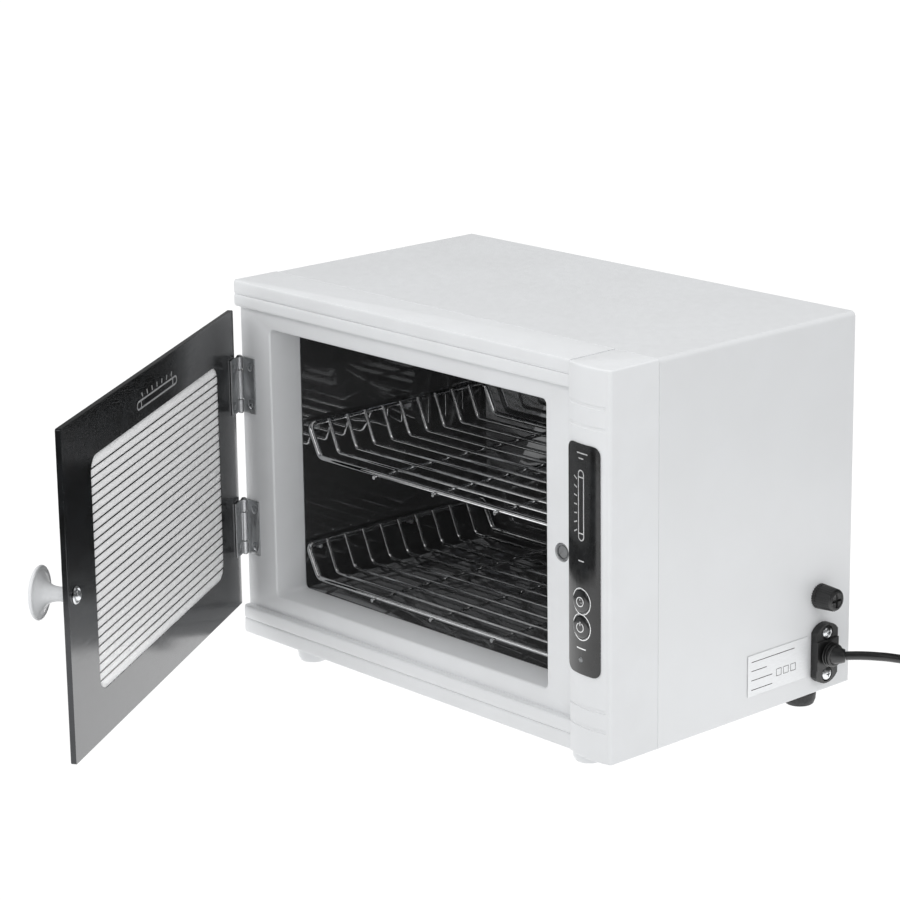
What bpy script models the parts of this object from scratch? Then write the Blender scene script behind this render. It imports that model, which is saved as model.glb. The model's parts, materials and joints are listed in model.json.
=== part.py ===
"""A countertop ultraviolet sterilizer cabinet with a side-hinged door and two lift-out wire racks.

Metres, +Z up. The front faces -Y. The origin is the centre of the cabinet's underside, which is
the underside of the base pan: the feet reach FOOT_HEIGHT below it. The door is modelled part open.
"""

import math

import bmesh
import bpy
from mathutils import Euler, Matrix, Vector

# Cabinet
WIDTH, DEPTH, HEIGHT = 0.328, 0.198, 0.226
HALF_WIDTH = WIDTH / 2
FRONT, BACK = -DEPTH / 2, DEPTH / 2
FOOT_HEIGHT = 0.008
GAP = 0.0003

# Front bezel
BEZEL_BACK = FRONT + 0.0345
BEZEL_WALL = 0.0025
BAND_LOW, BAND_HIGH = 0.0175, 0.2100
RECESS_Y = FRONT + 0.005
PILLAR_X = 0.130
PILLAR_PROUD = (0.001, 0.0045, 0.0025)
OPENING_X = (-0.1352, 0.1054)
OPENING_Z = (0.0288, 0.1982)
REVEAL_WALL = 0.002

# Sheet metal
CASING_SHEET = 0.0008
PAN_SHEET = 0.001
CASING_CORNER = 0.003
CASING_FLANGE = 0.021

# Chamber liner
LINER_FRONT, LINER_BACK = FRONT + 0.0295, FRONT + 0.1845
LINER_SHEET = 0.0007
LINER_FLANGE = 0.008

# Door, laid out as it is when shut: x along the door from the hinge axis, y through it
HINGE_X, HINGE_Y = -0.1625, FRONT + 0.0027
DOOR_OPEN = math.radians(57)
DOOR_SPAN = (0.0035, 0.291)
DOOR_Z = (0.019, 0.2075)
DOOR_FACES = (-0.00525, -0.00255)
PRINT_FACES = (-0.00225, -0.0020)
KNOB_ALONG, KNOB_Z = 0.2805, 0.1125

# Hinges: a leaf is laid out along +x from the pin
HINGE_HEIGHT = 0.035
HINGES = {"upper": 0.160, "lower": 0.06875}
LEAF_SHEET, LEAF_REACH = 0.0008, 0.0125
KNUCKLE_RADIUS, BORE_RADIUS, PIN_RADIUS = 0.0020, 0.0013, 0.0010
END_KNUCKLE = 0.0081
DOOR_LEAF_FACE, FRAME_LEAF_FACE = -0.0017, 0.0012
LEAF_SCREW_ALONG, LEAF_SCREW_APART = 0.0085, 0.0118

# Racks
RIM_X = (-0.1310, 0.1013)
DECK_INSET = 0.010
RIM_RISE = 0.0195
FRAME_WIRE, RACK_WIRE = 0.0018, 0.0012
WIRE_PITCH, WIRE_COUNT = 0.01481, 9
CROSS_WIRES_X = (-0.068, -0.015, 0.0385)
RACKS = {"upper": (0.1155, FRONT + 0.0312), "lower": (0.0383, FRONT + 0.0277)}
PEG_RADIUS = 0.0015
PEG_Y = {"front": FRONT + 0.039, "middle": FRONT + 0.115}

# Lamp: an 8 W T5 tube
LAMP_X = (-0.151, 0.137)
LAMP_Y, LAMP_Z, LAMP_RADIUS = FRONT + 0.130, 0.184, 0.008

# Controls on the pillar
LABEL_X, LABEL_Z = (0.1305, 0.1575), (0.0495, 0.182)
LABEL_SHEET = 0.0004
BUTTON_X, BUTTON_RADIUS = 0.1432, 0.0066
BUTTONS = {"timer": 0.0919, "power": 0.0770}
LED_X, LED_Z = 0.1427, 0.0578
MAGNET_X, MAGNET_RADIUS = 0.118, 0.00525

# Right-hand side: fuse holder, cord clamp and cord
FUSE_Y, FUSE_Z = FRONT + 0.1709, 0.0596
CLAMP_Y, CLAMP_Z = FRONT + 0.173, 0.0248
CLAMP_SIZE, CLAMP_THICK = (0.0185, 0.037), 0.0046
CLAMP_RAISED = (-0.0092, 0.0086)
CLAMP_SCREW_APART = 0.0128
FLOOR = -FOOT_HEIGHT
CORD_RADIUS = 0.00265
COIL_CENTRE = (0.2240, 0.1705)
COIL_RADIUS, COIL_HALF_WIDTH, COIL_HEIGHT = 0.030, 0.0082, 0.0150
# The relief comes straight out of the plate, then bends this far towards the back
RELIEF_INNER_X, RELIEF_BEND_X, RELIEF_BEND = 0.1590, 0.1705, 0.0127
RELIEF_TURN = 45
# The cord goes on from the relief's end, level at first, and comes down beside its coil
CORD_ROUTE = [
    (0.1797, 0.0779, 0.0249),
    (0.1840, 0.0823, 0.0250),
    (0.1888, 0.0873, 0.0248),
    (0.1933, 0.0924, 0.0242),
    (0.1975, 0.0975, 0.0233),
    (0.2040, 0.1051, 0.0212),
    (0.2110, 0.1122, 0.0170),
    (0.2186, 0.1187, 0.0108),
    (0.2267, 0.1245, 0.0042),
    (0.2352, 0.1297, -0.0013),
    (0.2440, 0.1345, -0.0042),
]
PLUG_TAIL = (COIL_CENTRE[0] + 0.0254, COIL_CENTRE[1] - 0.0128)


def clear_scene():
    for obj in list(bpy.data.objects):
        bpy.data.objects.remove(obj, do_unlink=True)


def new_collection(name, hidden=False):
    collection = bpy.data.collections.new(name)
    bpy.context.scene.collection.children.link(collection)
    collection.hide_render = hidden
    return collection


clear_scene()
PARTS = new_collection("uv_sterilizer_cabinet")
CUTTERS = new_collection("cutters", hidden=True)


def material(name, color, roughness, metallic=0.0, transmission=0.0):
    made = bpy.data.materials.new(name)
    made.use_nodes = True
    shader = made.node_tree.nodes["Principled BSDF"]
    shader.inputs["Base Color"].default_value = (*color, 1.0)
    shader.inputs["Roughness"].default_value = roughness
    shader.inputs["Metallic"].default_value = metallic
    shader.inputs["Transmission Weight"].default_value = transmission
    made.diffuse_color = (*color, 1.0)
    return made


WHITE_ABS = material("white_abs", (0.86, 0.86, 0.87), 0.35)
WHITE_PAINT = material("white_paint", (0.84, 0.84, 0.85), 0.30)
MIRROR_STEEL = material("mirror_steel", (0.78, 0.78, 0.79), 0.08, 1.0)
HINGE_STEEL = material("hinge_steel", (0.55, 0.55, 0.56), 0.32, 1.0)
SCREW_STEEL = material("screw_steel", (0.75, 0.75, 0.76), 0.20, 1.0)
CHROME = material("chrome", (0.82, 0.82, 0.83), 0.06, 1.0)
CLEAR_ACRYLIC = material("clear_acrylic", (0.95, 0.96, 0.97), 0.03, 0.0, 0.9)
BLACK_PRINT = material("black_print", (0.02, 0.02, 0.022), 0.18)
BLACK_PLASTIC = material("black_plastic", (0.025, 0.025, 0.027), 0.45)
BLACK_RUBBER = material("black_rubber", (0.03, 0.03, 0.03), 0.75)
CORD_PVC = material("cord_pvc", (0.02, 0.02, 0.021), 0.50)
LABEL_FILM = material("label_film", (0.02, 0.02, 0.022), 0.15)
LED_LENS = material("led_lens", (0.35, 0.02, 0.02), 0.25)
LAMP_GLASS = material("lamp_glass", (0.88, 0.90, 0.92), 0.10)
LAMP_HOLDER = material("lamp_holder", (0.80, 0.80, 0.78), 0.50)
BOARD_GREEN = material("board_green", (0.03, 0.16, 0.07), 0.45)
BALLAST_CAN = material("ballast_can", (0.45, 0.46, 0.47), 0.45, 0.6)
SILVER_FILM = material("silver_film", (0.66, 0.66, 0.68), 0.40, 0.3)


# Shapes. Each of these makes one object from one of Blender's own primitives, curves or modifiers.

def link(mesh, name, collection, finish=None):
    obj = bpy.data.objects.new(name, mesh)
    collection.objects.link(obj)
    if finish:
        mesh.materials.append(finish)
    if collection == CUTTERS:
        obj.hide_render = True
        obj.display_type = "WIRE"
    return obj


def from_bmesh(shape, name, collection=CUTTERS, finish=None):
    mesh = bpy.data.meshes.new(name)
    shape.to_mesh(mesh)
    shape.free()
    return link(mesh, name, collection, finish)


def box(name, low, high, collection=CUTTERS, finish=None):
    """A block between two opposite corners."""
    low, high = Vector(low), Vector(high)
    shape = bmesh.new()
    bmesh.ops.create_cube(shape, size=1.0)
    bmesh.ops.scale(shape, vec=high - low, verts=shape.verts)
    bmesh.ops.translate(shape, vec=(low + high) / 2, verts=shape.verts)
    return from_bmesh(shape, name, collection, finish)


def rod(name, start, end, radius, collection=CUTTERS, finish=None, sides=24, end_radius=None):
    """A cylinder, or a cone, between two points."""
    start, end = Vector(start), Vector(end)
    shape = bmesh.new()
    bmesh.ops.create_cone(
        shape,
        cap_ends=True,
        segments=sides,
        radius1=radius,
        radius2=radius if end_radius is None else end_radius,
        depth=(end - start).length,
    )
    turn = (end - start).to_track_quat("Z", "Y").to_matrix().to_4x4()
    bmesh.ops.transform(shape, matrix=Matrix.Translation((start + end) / 2) @ turn, verts=shape.verts)
    made = from_bmesh(shape, name, collection, finish)
    shade_round(made)
    return made


def mesh_from_curve(curve_object, name, collection, finish):
    """The curve object's evaluated mesh, with its caps welded; the curve itself is removed."""
    bpy.context.view_layer.update()
    evaluated = curve_object.evaluated_get(bpy.context.evaluated_depsgraph_get())
    mesh = bpy.data.meshes.new_from_object(evaluated)
    matrix = curve_object.matrix_world.copy()
    bpy.data.objects.remove(curve_object, do_unlink=True)
    shape = bmesh.new()
    shape.from_mesh(mesh)
    bmesh.ops.remove_doubles(shape, verts=shape.verts, dist=1e-6)
    bmesh.ops.recalc_face_normals(shape, faces=shape.faces)
    shape.to_mesh(mesh)
    shape.free()
    mesh.materials.clear()
    made = link(mesh, name, collection, finish)
    made.matrix_world = matrix
    return made


def plate(name, outline, thickness, matrix, collection=CUTTERS, finish=None):
    """A flat outline in the local XY plane, as thick as given about that plane, put in place by a matrix."""
    curve = bpy.data.curves.new(name, "CURVE")
    curve.dimensions = "2D"
    curve.fill_mode = "BOTH"
    curve.extrude = thickness / 2
    spline = curve.splines.new("POLY")
    spline.points.add(len(outline) - 1)
    for point, (x, y) in zip(spline.points, outline):
        point.co = (x, y, 0.0, 1.0)
    spline.use_cyclic_u = True
    flat = bpy.data.objects.new(name, curve)
    bpy.context.scene.collection.objects.link(flat)
    flat.matrix_world = matrix
    return mesh_from_curve(flat, name, collection, finish)


def wire(name, routes, radius, sides_step=1, closed=False, collection=CUTTERS, finish=None, radii=None):
    """One or more round wires along routes of points; 4 + 2 * sides_step sides."""
    curve = bpy.data.curves.new(name, "CURVE")
    curve.dimensions = "3D"
    curve.bevel_depth = radius
    curve.bevel_resolution = sides_step
    curve.use_fill_caps = True
    for route in routes:
        spline = curve.splines.new("POLY")
        spline.points.add(len(route) - 1)
        for index, (point, place) in enumerate(zip(spline.points, route)):
            point.co = (*place, 1.0)
            point.radius = radii[index] if radii else 1.0
        spline.use_cyclic_u = closed
    guide = bpy.data.objects.new(name, curve)
    bpy.context.scene.collection.objects.link(guide)
    made = mesh_from_curve(guide, name, collection, finish)
    made.data.shade_smooth()
    return made


def turned(name, profile, centre, axis, collection=CUTTERS, finish=None, steps=32):
    """A profile of (radius, height) pairs, from top to bottom of its outer side, turned about an axis."""
    mesh = bpy.data.meshes.new(name)
    edges = [(index, index + 1) for index in range(len(profile) - 1)]
    mesh.from_pydata([(radius, 0.0, height) for radius, height in profile], edges, [])
    made = link(mesh, name, collection, finish)
    made.matrix_world = Matrix.Translation(centre) @ Vector(axis).to_track_quat("Z", "Y").to_matrix().to_4x4()
    screw = made.modifiers.new("turn", "SCREW")
    screw.steps = screw.render_steps = steps
    screw.use_merge_vertices = True
    screw.merge_threshold = 0.00001
    screw.use_smooth_shade = True
    return made


def shade_round(obj):
    obj.data.shade_smooth()
    obj.data.set_sharp_from_angle(angle=math.radians(35))


def combine(obj, operation, *others):
    """Cuts others from the object, or joins them to it."""
    for other in others:
        boolean = obj.modifiers.new(other.name, "BOOLEAN")
        boolean.operation = operation
        boolean.solver = "EXACT"
        boolean.object = other
    return obj


def cut(obj, *others):
    return combine(obj, "DIFFERENCE", *others)


def join(obj, *others):
    return combine(obj, "UNION", *others)


def round_edges(obj, width, segments=2, angle=30):
    bevel = obj.modifiers.new("edges", "BEVEL")
    bevel.width = width
    bevel.segments = segments
    bevel.limit_method = "ANGLE"
    bevel.angle_limit = math.radians(angle)
    return obj


def arc(centre, radius, start, end, steps):
    """Points on an arc, its angles in degrees."""
    points = []
    for step in range(steps + 1):
        angle = math.radians(start + (end - start) * step / steps)
        points.append((centre[0] + radius * math.cos(angle), centre[1] + radius * math.sin(angle)))
    return points


def rounded_rectangle(low, high, radius, steps=4):
    corners = (
        (high[0] - radius, high[1] - radius, 0),
        (low[0] + radius, high[1] - radius, 90),
        (low[0] + radius, low[1] + radius, 180),
        (high[0] - radius, low[1] + radius, 270),
    )
    points = []
    for x, y, start in corners:
        points += arc((x, y), radius, start, start + 90, steps)
    return points


# Turns an outline drawn in (x, z) to stand in the XZ plane at a given y.
def upright_at(y):
    return Matrix.Translation((0, y, 0)) @ Matrix.Rotation(math.radians(90), 4, "X")


def facing_x(x):
    """Puts an outline drawn in (y, z) in the YZ plane at a given x."""
    return Matrix.Translation((x, 0, 0)) @ Euler((math.radians(90), 0, math.radians(90))).to_matrix().to_4x4()


def smooth_route(route, spacing):
    """Points at an even spacing along one smooth curve through a route's own points."""
    places = [Vector(place) for place in route]
    places = [2 * places[0] - places[1]] + places + [2 * places[-1] - places[-2]]
    fine = []
    for index in range(1, len(places) - 2):
        before, here, there, after = places[index - 1 : index + 3]
        for step in range(40):
            t = step / 40
            fine.append(0.5 * (2 * here + (there - before) * t
                               + (2 * before - 5 * here + 4 * there - after) * t ** 2
                               + (3 * here - before - 3 * there + after) * t ** 3))
    fine.append(places[-2])
    length = sum((b - a).length for a, b in zip(fine, fine[1:]))
    count = max(2, round(length / spacing))
    even, walked, target = [fine[0]], 0.0, length / count
    for a, b in zip(fine, fine[1:]):
        walked += (b - a).length
        if walked >= target * len(even) - 1e-9 and len(even) < count:
            even.append(b)
    even.append(fine[-1])
    return even


# Front bezel

def pillar_front(x):
    """How far back the bowed pillar's face is at x: a parabola through three depths."""
    across = (x - PILLAR_X) / (HALF_WIDTH - PILLAR_X)
    first, middle, last = PILLAR_PROUD
    proud = first + (4 * middle - 3 * first - last) * across + 2 * (first + last - 2 * middle) * across ** 2
    return FRONT - proud


def pillar_curve(low_x, high_x, steps, offset=0.0):
    """Points on the pillar's face between two x, moved forward by the offset."""
    xs = [low_x + (high_x - low_x) * step / steps for step in range(steps + 1)]
    return [(x, pillar_front(x) - offset) for x in xs]


def lying(z_low, z_high):
    """The thickness and the place of an outline drawn in (x, y) that reaches between two heights."""
    return z_high - z_low, Matrix.Translation((0, 0, (z_low + z_high) / 2))


def front_bezel():
    bezel = box("front_bezel", (-HALF_WIDTH, FRONT, 0), (HALF_WIDTH, BEZEL_BACK, HEIGHT), PARTS, WHITE_ABS)
    round_edges(bezel, 0.002)
    outline = [(PILLAR_X, FRONT + 0.02), (HALF_WIDTH, FRONT + 0.02), (HALF_WIDTH, FRONT - 0.0005)]
    outline += list(reversed(pillar_curve(PILLAR_X, HALF_WIDTH - 0.002, 10)))
    pillar = plate("bezel_pillar", outline, *lying(0.0012, HEIGHT - 0.0012))
    recess = box("bezel_recess", (-0.2, -0.2, BAND_LOW), (PILLAR_X - 0.0002, RECESS_Y, BAND_HIGH))
    inner_x = HALF_WIDTH - BEZEL_WALL
    hollow = box(
        "bezel_hollow",
        (-inner_x, RECESS_Y + BEZEL_WALL, BEZEL_WALL),
        (inner_x, BEZEL_BACK + 0.01, HEIGHT - BEZEL_WALL),
    )
    pillar_hollow = box(
        "bezel_pillar_hollow",
        (PILLAR_X + BEZEL_WALL, FRONT + 0.0015, BEZEL_WALL),
        (inner_x, BEZEL_BACK, HEIGHT - BEZEL_WALL),
    )
    (x0, x1), (z0, z1) = OPENING_X, OPENING_Z
    reveal = box(
        "bezel_reveal",
        (x0 - REVEAL_WALL, RECESS_Y + 0.0005, z0 - REVEAL_WALL),
        (x1 + REVEAL_WALL, LINER_FRONT - GAP, z1 + REVEAL_WALL),
    )
    opening = plate("bezel_opening", rounded_rectangle((x0, -z1), (x1, -z0), 0.003), 0.1,
                    Matrix.Rotation(math.radians(-90), 4, "X") @ Matrix.Translation((0, 0, -0.09)))
    join(bezel, pillar)
    cut(bezel, recess, hollow, pillar_hollow)
    join(bezel, reveal)
    cut(bezel, opening)
    magnet_hole = rod("bezel_magnet_hole", (MAGNET_X, -0.12, KNOB_Z), (MAGNET_X, -0.08, KNOB_Z),
                      MAGNET_RADIUS + GAP)
    cut(bezel, magnet_hole)
    for name, z in BUTTONS.items():
        cut(bezel, rod(f"bezel_{name}_hole", (BUTTON_X, -0.12, z), (BUTTON_X, -0.09, z), BUTTON_RADIUS + GAP))
    cut(bezel, rod("bezel_led_hole", (LED_X, -0.12, LED_Z), (LED_X, -0.09, LED_Z), 0.0018, sides=12))
    for name, z in HINGES.items():
        for end in (-1, 1):
            place = (HINGE_X + LEAF_SCREW_ALONG, z + end * LEAF_SCREW_APART)
            cut(bezel, rod(f"bezel_{name}_screw_hole", (place[0], -0.11, place[1]), (place[0], -0.08, place[1]),
                           0.0014, sides=12))
    return bezel


# Sheet metal

def casing_wrap():
    """One sheet folded over the top, down both sides and in under the cabinet, where the rear feet are."""
    radius, sheet = CASING_CORNER, CASING_SHEET
    inner_side, inner_radius = HALF_WIDTH - sheet, radius - sheet
    outer = [(HALF_WIDTH - CASING_FLANGE, 0)] + arc((HALF_WIDTH - sheet, sheet), sheet, 270, 360, 3)
    outer += arc((HALF_WIDTH - radius, HEIGHT - radius), radius, 0, 90, 4)
    outer += [(-x, z) for x, z in reversed(outer)]
    inner = [(HALF_WIDTH - CASING_FLANGE, sheet), (inner_side, sheet)]
    inner += arc((HALF_WIDTH - radius, HEIGHT - radius), inner_radius, 0, 90, 4)
    inner += [(-x, z) for x, z in reversed(inner)]
    inner.reverse()
    front = BEZEL_BACK + GAP
    casing = plate("casing_wrap", outer + inner, BACK - front, upright_at((front + BACK) / 2), PARTS, WHITE_PAINT)
    wall = (HALF_WIDTH - 0.005, HALF_WIDTH + 0.005)
    cut(casing, rod("casing_fuse_hole", (wall[0], FUSE_Y, FUSE_Z), (wall[1], FUSE_Y, FUSE_Z), 0.0060))
    cut(casing, rod("casing_cord_hole", (wall[0], CLAMP_Y, CLAMP_Z), (wall[1], CLAMP_Y, CLAMP_Z), 0.0060))
    for end in (-1, 1):
        z = CLAMP_Z + end * CLAMP_SCREW_APART
        cut(casing, rod("casing_clamp_screw_hole", (wall[0], CLAMP_Y, z), (wall[1], CLAMP_Y, z), 0.0019, sides=12))
    return casing


def base_pan():
    """The flat underside, between the casing's flanges."""
    inside = HALF_WIDTH - CASING_FLANGE - GAP
    return box("base_pan", (-inside, BEZEL_BACK + GAP, 0), (inside, BACK - 0.0025, PAN_SHEET), PARTS, WHITE_PAINT)


def rear_panel():
    inside, top = HALF_WIDTH - CASING_SHEET - GAP, HEIGHT - CASING_SHEET - GAP
    outline = rounded_rectangle((-inside, CASING_SHEET + GAP), (inside, top), CASING_CORNER, steps=2)
    return plate("rear_panel", outline, PAN_SHEET, upright_at(BACK - 0.0013), PARTS, WHITE_PAINT)


def chamber_liner():
    """The polished box behind the opening, with a flange round its open front."""
    (x0, x1), (z0, z1) = OPENING_X, OPENING_Z
    x0, x1, z0, z1 = x0 - GAP, x1 + 0.0001, z0 - GAP, z1 + GAP
    sheet, flange = LINER_SHEET, LINER_FLANGE
    liner = box("chamber_liner", (x0 - sheet, LINER_FRONT, z0 - sheet), (x1 + sheet, LINER_BACK + sheet, z1 + sheet),
                PARTS, MIRROR_STEEL)
    rim = box("liner_flange", (x0 - flange, LINER_FRONT, z0 - flange),
              (x1 + flange, LINER_FRONT + sheet, z1 + flange))
    inside = box("liner_inside", (x0, LINER_FRONT - 0.01, z0), (x1, LINER_BACK, z1))
    join(liner, rim)
    cut(liner, inside)
    cut(liner, rod("liner_lamp_hole", (-0.16, LAMP_Y, LAMP_Z), (0.16, LAMP_Y, LAMP_Z), LAMP_RADIUS + 0.0013))
    for rack, (deck, _) in RACKS.items():
        for place, y in PEG_Y.items():
            z = peg_height(deck)
            cut(liner, rod(f"liner_{rack}_{place}_peg_hole", (-0.16, y, z), (0.16, y, z), PEG_RADIUS + GAP, sides=12))
    return liner


# Door and its hinges

DOOR_SWING = Matrix.Translation((HINGE_X, HINGE_Y, 0)) @ Matrix.Rotation(-DOOR_OPEN, 4, "Z")


def door_axis():
    """The empty on the hinge axis that carries the door's pieces; they are laid out for a shut door."""
    axis = bpy.data.objects.new("door_axis", None)
    PARTS.objects.link(axis)
    axis.matrix_world = DOOR_SWING
    return axis


def hang(pieces, axis):
    for piece in pieces:
        local = piece.matrix_world.copy()
        piece.parent = axis
        piece.matrix_local = local


def door_panel():
    panel = box("door_panel", (DOOR_SPAN[0], DOOR_FACES[0], DOOR_Z[0]), (DOOR_SPAN[1], DOOR_FACES[1], DOOR_Z[1]),
                PARTS, CLEAR_ACRYLIC)
    return pierced(panel, DOOR_FACES[1] - 0.0021)


def door_print():
    layer = box("door_print", (DOOR_SPAN[0], PRINT_FACES[0], DOOR_Z[0]), (DOOR_SPAN[1], PRINT_FACES[1], DOOR_Z[1]),
                PARTS, BLACK_PRINT)
    return pierced(layer, PRINT_FACES[0] - 0.001)


def pierced(sheet, screw_depth):
    """Cuts the knob screw's hole through a sheet of the door, and the leaf screws' holes down to a depth."""
    cut(sheet, on_door(rod(f"{sheet.name}_knob_hole", (KNOB_ALONG, -0.02, KNOB_Z), (KNOB_ALONG, 0.02, KNOB_Z),
                           0.0019, sides=16)))
    for name, z in HINGES.items():
        for end in (-1, 1):
            height = z + end * LEAF_SCREW_APART
            hole = rod(f"{sheet.name}_{name}_screw_hole", (LEAF_SCREW_ALONG, screw_depth, height),
                       (LEAF_SCREW_ALONG, 0.01, height), 0.0014, sides=12)
            cut(sheet, on_door(hole))
    return sheet


def on_door(cutter):
    """Puts a cutter, laid out for a shut door, where the door is."""
    cutter.matrix_world = DOOR_SWING @ cutter.matrix_world
    return cutter


def leaf_outline(low, high, spans):
    """A leaf's outline in (x, z): straight by the pin, with a tab for each of its own knuckles."""
    clear, tab, inset = KNUCKLE_RADIUS + 0.0004, 0.0006, 0.0002
    outline = [(clear, low), (LEAF_REACH, low), (LEAF_REACH, high), (clear, high)]
    for span_low, span_high in reversed(spans):
        top, bottom = span_high - inset, span_low + inset
        outline += [(clear, top), (tab, top), (tab, bottom), (clear, bottom)]
    return outline


def leaf(name, z, face, middle, swing):
    """A hinge leaf: its sheet starts clear of the other leaf's knuckles and joins its own."""
    low, high = z - HINGE_HEIGHT / 2, z + HINGE_HEIGHT / 2
    inner_low, inner_high = low + END_KNUCKLE, high - END_KNUCKLE
    if middle:
        spans = [(inner_low + GAP / 2, inner_high - GAP / 2)]
    else:
        spans = [(low, inner_low - GAP / 2), (inner_high + GAP / 2, high)]
    made = plate(name, leaf_outline(low, high, spans), LEAF_SHEET, upright_at(face + LEAF_SHEET / 2), PARTS,
                 HINGE_STEEL)
    knuckles = [rod(f"{name}_knuckle", (0, 0, bottom), (0, 0, top), KNUCKLE_RADIUS, sides=20)
                for bottom, top in spans]
    holes = [rod(f"{name}_bore", (0, 0, low - 0.01), (0, 0, high + 0.01), BORE_RADIUS, sides=16)]
    # The heads show in the gap between the two leaves: the frame leaf's face it from +y, the door leaf's from -y
    top, inward = (face, 1) if middle else (face + LEAF_SHEET, -1)
    for end in (-1, 1):
        height = z + end * LEAF_SCREW_APART
        outside, inside = top - inward * 0.0003, top + inward * (LEAF_SHEET + 0.0003)
        holes.append(rod(f"{name}_seat", (LEAF_SCREW_ALONG, outside, height), (LEAF_SCREW_ALONG, inside, height),
                         0.0033, sides=16, end_radius=0.0019))
    join(made, *knuckles)
    cut(made, *holes)
    for piece in [made] + knuckles + holes:
        piece.matrix_world = swing @ piece.matrix_world
    return made


def leaf_screw(name, z, top, inward):
    """A countersunk screw whose head is flush with a leaf; inward is +1 where it is driven towards +y."""
    profile = [(0.0, 0.0), (0.0026, 0.0), (0.0026, -0.0001), (0.0011, -0.0011), (0.0011, -0.0027), (0.0, -0.0027)]
    return turned(name, profile, (LEAF_SCREW_ALONG, top, z), (0, -inward, 0), PARTS, SCREW_STEEL, steps=10)


def cross_recess(screw, place, outward, reach, depth):
    """Cuts a cross slot in a screw's head."""
    turn = Vector(outward).to_track_quat("Z", "Y").to_matrix().to_4x4()
    for index, (long, short) in enumerate(((reach, 0.0003), (0.0003, reach))):
        slot = box(f"{screw.name}_slot_{index}", (-long, -short, -depth), (long, short, depth + 0.0005))
        slot.matrix_world = Matrix.Translation(place) @ turn
        cut(screw, slot)
    return screw


def hinge_pin(name, z):
    reach = HINGE_HEIGHT / 2 + GAP
    head = [(0.0, reach + 0.0007), (0.0012, reach + 0.0006), (0.0017, reach)]
    foot = [(0.0017, -reach), (0.0012, -reach - 0.0006), (0.0, -reach - 0.0007)]
    profile = head + [(PIN_RADIUS, reach), (PIN_RADIUS, -reach)] + foot
    return turned(name, profile, (HINGE_X, HINGE_Y, z), (0, 0, 1), PARTS, HINGE_STEEL, steps=12)


def hinges(axis):
    frame_swing = Matrix.Translation((HINGE_X, HINGE_Y, 0))
    for name, z in HINGES.items():
        leaf(f"hinge_{name}_frame_leaf", z, FRAME_LEAF_FACE, True, frame_swing)
        door_leaf = leaf(f"hinge_{name}_door_leaf", z, DOOR_LEAF_FACE, False, DOOR_SWING)
        matrix = door_leaf.matrix_world.copy()
        door_leaf.parent = axis
        door_leaf.matrix_local = DOOR_SWING.inverted() @ matrix
        hinge_pin(f"hinge_{name}_pin", z)
        for place, end in (("top", 1), ("bottom", -1)):
            height = z + end * LEAF_SCREW_APART
            into_door = leaf_screw(f"{name}_door_screw_{place}", height, DOOR_LEAF_FACE + LEAF_SHEET, -1)
            carry_with_cutters(into_door, DOOR_SWING)
            into_frame = leaf_screw(f"{name}_frame_screw_{place}", height, FRAME_LEAF_FACE, 1)
            carry_with_cutters(into_frame, frame_swing)


def carry_with_cutters(obj, swing):
    """Moves an object and the shapes that cut it from the layout of a shut door to their place."""
    obj.matrix_world = swing @ obj.matrix_world
    for modifier in obj.modifiers:
        if modifier.type == "BOOLEAN":
            modifier.object.matrix_world = swing @ modifier.object.matrix_world


def door_knob():
    """A white trumpet-shaped knob on the outer face, bored for its screw."""
    face = DOOR_FACES[0] - GAP
    profile = [
        (0.0, 0.0190), (0.0060, 0.0188), (0.0115, 0.0180), (0.0143, 0.0166), (0.0150, 0.0150), (0.0143, 0.0138),
        (0.0105, 0.0122), (0.0068, 0.0100), (0.0046, 0.0072), (0.0037, 0.0045), (0.0038, 0.0018), (0.0046, 0.0),
        (0.0018, 0.0), (0.0018, 0.0095), (0.0, 0.0095),
    ]
    return turned("door_knob", profile, (KNOB_ALONG, face, KNOB_Z), (0, -1, 0), PARTS, WHITE_ABS, steps=20)


def knob_washer():
    face = PRINT_FACES[1] + GAP
    profile = [(0.0019, 0.0010), (0.0043, 0.0010), (0.0055, 0.0004), (0.0055, 0.0), (0.0019, 0.0), (0.0019, 0.0010)]
    return turned("knob_washer", profile, (KNOB_ALONG, face, KNOB_Z), (0, 1, 0), PARTS, SCREW_STEEL, steps=24)


def knob_screw():
    face = PRINT_FACES[1] + 2 * GAP + 0.0010
    under = DOOR_FACES[0] - GAP - 0.0080 - face
    profile = [(0.0, 0.0019), (0.0018, 0.0017), (0.0031, 0.0010), (0.0035, 0.0), (0.0015, 0.0), (0.0015, under),
               (0.0, under)]
    screw = turned("knob_screw", profile, (KNOB_ALONG, face, KNOB_Z), (0, 1, 0), PARTS, SCREW_STEEL, steps=20)
    cross_recess(screw, (KNOB_ALONG, face + 0.0019, KNOB_Z), (0, 1, 0), 0.0018, 0.0010)
    return screw


def door():
    axis = door_axis()
    hang([door_panel(), door_print(), door_knob(), knob_washer()], axis)
    carry_with_cutters(knob_screw(), DOOR_SWING)
    hinges(axis)


# Racks

def peg_height(deck):
    return deck + RIM_RISE - FRAME_WIRE - GAP - PEG_RADIUS


def fillet(points, radius, steps=3):
    """An open route with its inner corners rounded."""
    places = [Vector(point) for point in points]
    rounded = [places[0]]
    for before, here, after in zip(places, places[1:], places[2:]):
        back, ahead = (before - here).normalized(), (after - here).normalized()
        angle = back.angle(ahead)
        reach = radius / math.tan(angle / 2)
        start, end = here + back * reach, here + ahead * reach
        for step in range(steps + 1):
            t = step / steps
            rounded.append((1 - t) ** 2 * start + 2 * t * (1 - t) * here + t ** 2 * end)
    return rounded + [places[-1]]


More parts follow.
